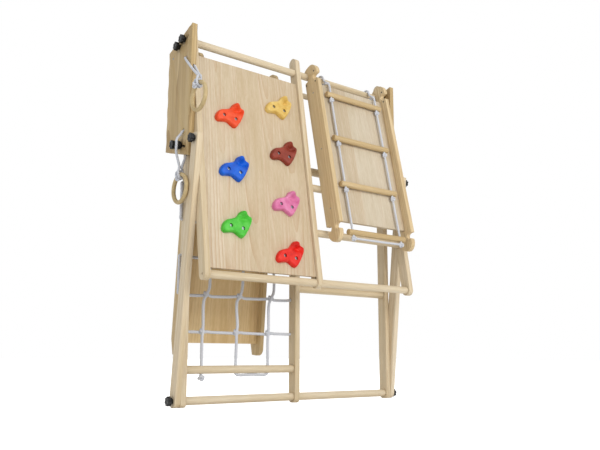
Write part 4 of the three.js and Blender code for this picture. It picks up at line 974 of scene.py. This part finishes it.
# foot of the hold seen from the front, in millimetres
holdOutline = [
    (-59, -12), (-53.5, 5.5), (-40.5, 21), (-19, 31), (-2, 40), (7, 52), (14, 64), (23, 70.5), (33, 70), (41, 63),
    (49, 57), (60, 50), (63.5, 42), (60, 28), (56, 13), (51, -2), (44, -15), (37, -27), (29, -34.5), (20, -34),
    (9, -29), (-0.5, -23.5), (-9, -20.5), (-20.5, -22), (-35.5, -26.5), (-46, -29), (-54.5, -25.5), (-58.5, -19),
]
# what stands out of the flat face or sinks into it, in millimetres: middle, half widths, height
holdForms = {
    "nose": (24, 57, 14, 11, 18),
    "bowl": (33, 40, 21, 11, -13),
    "ridge": (56, 34, 8, 24, 9),
    "lobe": (-36, -4, 22, 18, 2),
    "tip": (27, -20, 15, 12, 2),
}
# place on the leaf (x, drop below its top dowel), turn about the panel's normal, colours
holds = {
    "hold_orange": (-0.3675, 0.3067, 0.12, "#e44a20", "#d23c12", "#ee663c"),
    "hold_blue": (-0.364, 0.5314, 0.12, "#0058c8", "#0048b0", "#0a6cd8"),
    "hold_green": (-0.370, 0.755, 0.11, "#48ba36", "#329f22", "#66c852"),
    "hold_yellow": (-0.1276, 0.2138, 0.12, "#d9b765", "#c79c40", "#e0c580"),
    "hold_brown": (-0.1239, 0.4213, 0.12, "#84301f", "#6e2416", "#963f2e"),
    "hold_pink": (-0.135, 0.639, 0.13, "#d2759f", "#c25a8a", "#de8fb4"),
    "hold_red": (-0.1392, 0.8485, 0.12, "#d81a0c", "#bd1207", "#e23828"),
}


# How far the hold stands out of the panel, from its place and how near it is to the outline
def holdHeight(px, pz, toRim):
    face = hold["plateau"]
    for middleX, middleZ, wide, tall, height in holdForms.values():
        face += height / 1000 * math.exp(-((px * 1000 - middleX) / wide) ** 2 - ((pz * 1000 - middleZ) / tall) ** 2)
    share = min(toRim / hold["edge"], 1.0)
    return hold["foot"] + (face - hold["foot"]) * math.sqrt(1 - (1 - share) ** 2)


def nearestEdge(x, z, outline):
    nearest = 1.0
    for first, second in zip(outline, outline[1:] + outline[:1]):
        along = second - first
        share = max(0.0, min(1.0, ((x - first.x) * along.x + (z - first.z) * along.z) / along.length_squared))
        nearest = min(nearest, math.hypot(x - first.x - along.x * share, z - first.z - along.z * share))
    return nearest


# One closed skin from a sphere: its front is the hold's face, then the wall, and its back lies flat on the panel
def holdBody():
    outline = smoothPath([(x / 1000, 0, z / 1000) for x, z in holdOutline], hold["step"], closed=True)[:-1]
    heart = Vector(hold["heart"])
    faceTo, wallTo = hold["faceTo"], hold["wallTo"]
    deselectAll()
    bpy.ops.mesh.primitive_uv_sphere_add(segments=len(outline), ring_count=hold["rings"], radius=1.0, rotation=alongY)
    piece = bpy.context.object
    bpy.ops.object.transform_apply(rotation=True)
    for vert in piece.data.vertices:
        x, y, z = vert.co
        polar = math.degrees(math.acos(max(-1.0, min(1.0, -y))))      # 0 at the front
        spoke = round(math.atan2(z, x) / (2 * math.pi) * len(outline)) % len(outline)
        reach = outline[spoke] - heart
        if polar <= faceTo:
            spot = heart + reach * math.sin(math.radians(polar * 90 / faceTo)) ** hold["rise"]
            out = holdHeight(spot.x, spot.z, nearestEdge(spot.x, spot.z, outline))
        elif polar <= wallTo:
            drop = (polar - faceTo) / (wallTo - faceTo)
            spot = heart + reach * (1 + hold["bulge"] * math.sin(drop * math.pi))
            out = hold["foot"] * (1 - drop)
        else:
            spot = heart + reach * math.sin(math.radians((180 - polar) / (180 - wallTo) * 90))
            out = 0.0
        vert.co = Vector((spot.x, -out, spot.z))
    cleanMesh(piece, bpy.ops.mesh.normals_make_consistent, inside=False)
    # sunk seats for the two bolts
    for side in (-1, 1):
        middle = (side * hold["boltSpacing"] / 2, -hold["seatFloor"] - hold["seatLength"] / 2, 0)
        cutOut(piece, turnedBar(32, hold["boltSeat"], hold["seatLength"], middle, alongY))
    smoothByAngle(piece, 50)
    return piece


# washer and nut behind the panel: sides, radius, thickness, how far their middle lies behind its face
fixings = ((32, 0.0110, 0.0014, 0.0125), (6, 0.0062, 0.0045, 0.0155))
holdStart = holdBody()
bolt = socketScrew(0.0068, 0.0040)
for node, (x, drop, turn, colour, shadow, light) in holds.items():
    spot = leafPlace @ Matrix.Translation((x, hold["front"], -drop)) @ Matrix.Rotation(turn, 4, "Y")
    piece = copyOf(holdStart, spot)
    stops = [(0.25, shadow), (0.5, colour), (0.8, light)]
    dress(piece, mouldedFinish("cast polyurethane, " + node[5:], holdLook, stops))
    fittings = []
    for side in (-1, 1):
        boltX = side * hold["boltSpacing"] / 2
        seat = Matrix.Translation((boltX, -hold["seatFloor"] - hold["headUp"], 0))
        fittings.append(copyOf(bolt, spot @ seat @ Matrix.Rotation(-math.pi / 2, 4, "Z")))
        for sides, radius, thick, behind in fixings:
            part = turnedBar(sides, radius, thick, (boltX, behind, 0), alongY)
            easeEdges(part, hold["fixingEdge"], 1)
            dress(part, zincSteel)
            fittings.append(place(part, spot))
    settle(joinAll([piece, *fittings]), node + "_cast", "leaf", [node])
bpy.data.objects.remove(holdStart)
bpy.data.objects.remove(bolt)
print("holds made")


# 1 for rays that the camera sees, straight, mirrored or through glass, and 0 for those that light the object
def seenByCamera(add):
    rays = add("LightPath")
    seen = add("Math", {"operation": "MAXIMUM"}, i0=rays.outputs["Is Camera Ray"], i1=rays.outputs["Is Glossy Ray"])
    return add("Math", {"operation": "MAXIMUM"}, i0=seen, i1=rays.outputs["Is Transmission Ray"])


# floor and world show plain white to the camera, and light the object as their own colours do
studio = {"floor": "#f2f2f2", "floorGlow": 0.75, "sky": "#f4f6f8", "skyStrength": 0.64, "skyGlow": 1.0}
floorFinish, add, shader = newFinish("painted studio floor")
glow = add("Math", {"operation": "MULTIPLY", 1: studio["floorGlow"]}, i0=seenByCamera(add))
shader.id_data.links.new(glow.outputs[0], shader.inputs["Emission Strength"])
feed(shader, None, None, None, {"Base Color": toLinear(studio["floor"]), "Roughness": 0.9,
                                      "Specular IOR Level": 0.0, "Emission Color": (1, 1, 1, 1)})
deselectAll()
bpy.ops.mesh.primitive_plane_add(size=30, location=(0, 0, -0.0005))
floor = bpy.context.object
floor.name = "studio_floor"
floor.data.materials.append(floorFinish)

world = bpy.data.worlds.new("studioWorld")
bpy.context.scene.world = world
world.use_nodes = True
tree = world.node_tree
sky, output = (next(node for node in tree.nodes if node.type == kind) for kind in ("BACKGROUND", "OUTPUT_WORLD"))
sky.inputs["Color"].default_value = toLinear(studio["sky"])
sky.inputs["Strength"].default_value = studio["skyStrength"]
add = partial(addNode, tree)
bright = add("Background", {"Color": (1, 1, 1, 1), "Strength": studio["skyGlow"]})
mixed = add("MixShader", i0=seenByCamera(add), i1=sky, i2=bright)
tree.links.new(mixed.outputs[0], output.inputs[0])


def softLamp(name, spot, target, size, watts, colour):
    data = bpy.data.lights.new(name, "AREA")
    data.shape = "DISK"
    data.size = size
    data.energy = watts
    data.color = toLinear(colour)[:3]
    lamp = bpy.data.objects.new(name, data)
    bpy.context.scene.collection.objects.link(lamp)
    lamp.location = spot
    lamp.rotation_euler = (Vector(target) - Vector(spot)).to_track_quat("-Z", "Y").to_euler()


softLamp("keyLamp", (0.5, -3.9, 2.3), (0, 0, 0.7), 2.4, 86, "#fffdf9")
softLamp("fillLamp", (-3.4, -1.6, 1.7), (0, 0, 0.7), 2.4, 24, "#ffffff")
softLamp("backLamp", (1.6, 3.2, 3.0), (0, 0, 0.8), 2.0, 40, "#ffffff")
bpy.context.scene.view_settings.view_transform = "Standard"

print("scene ready")
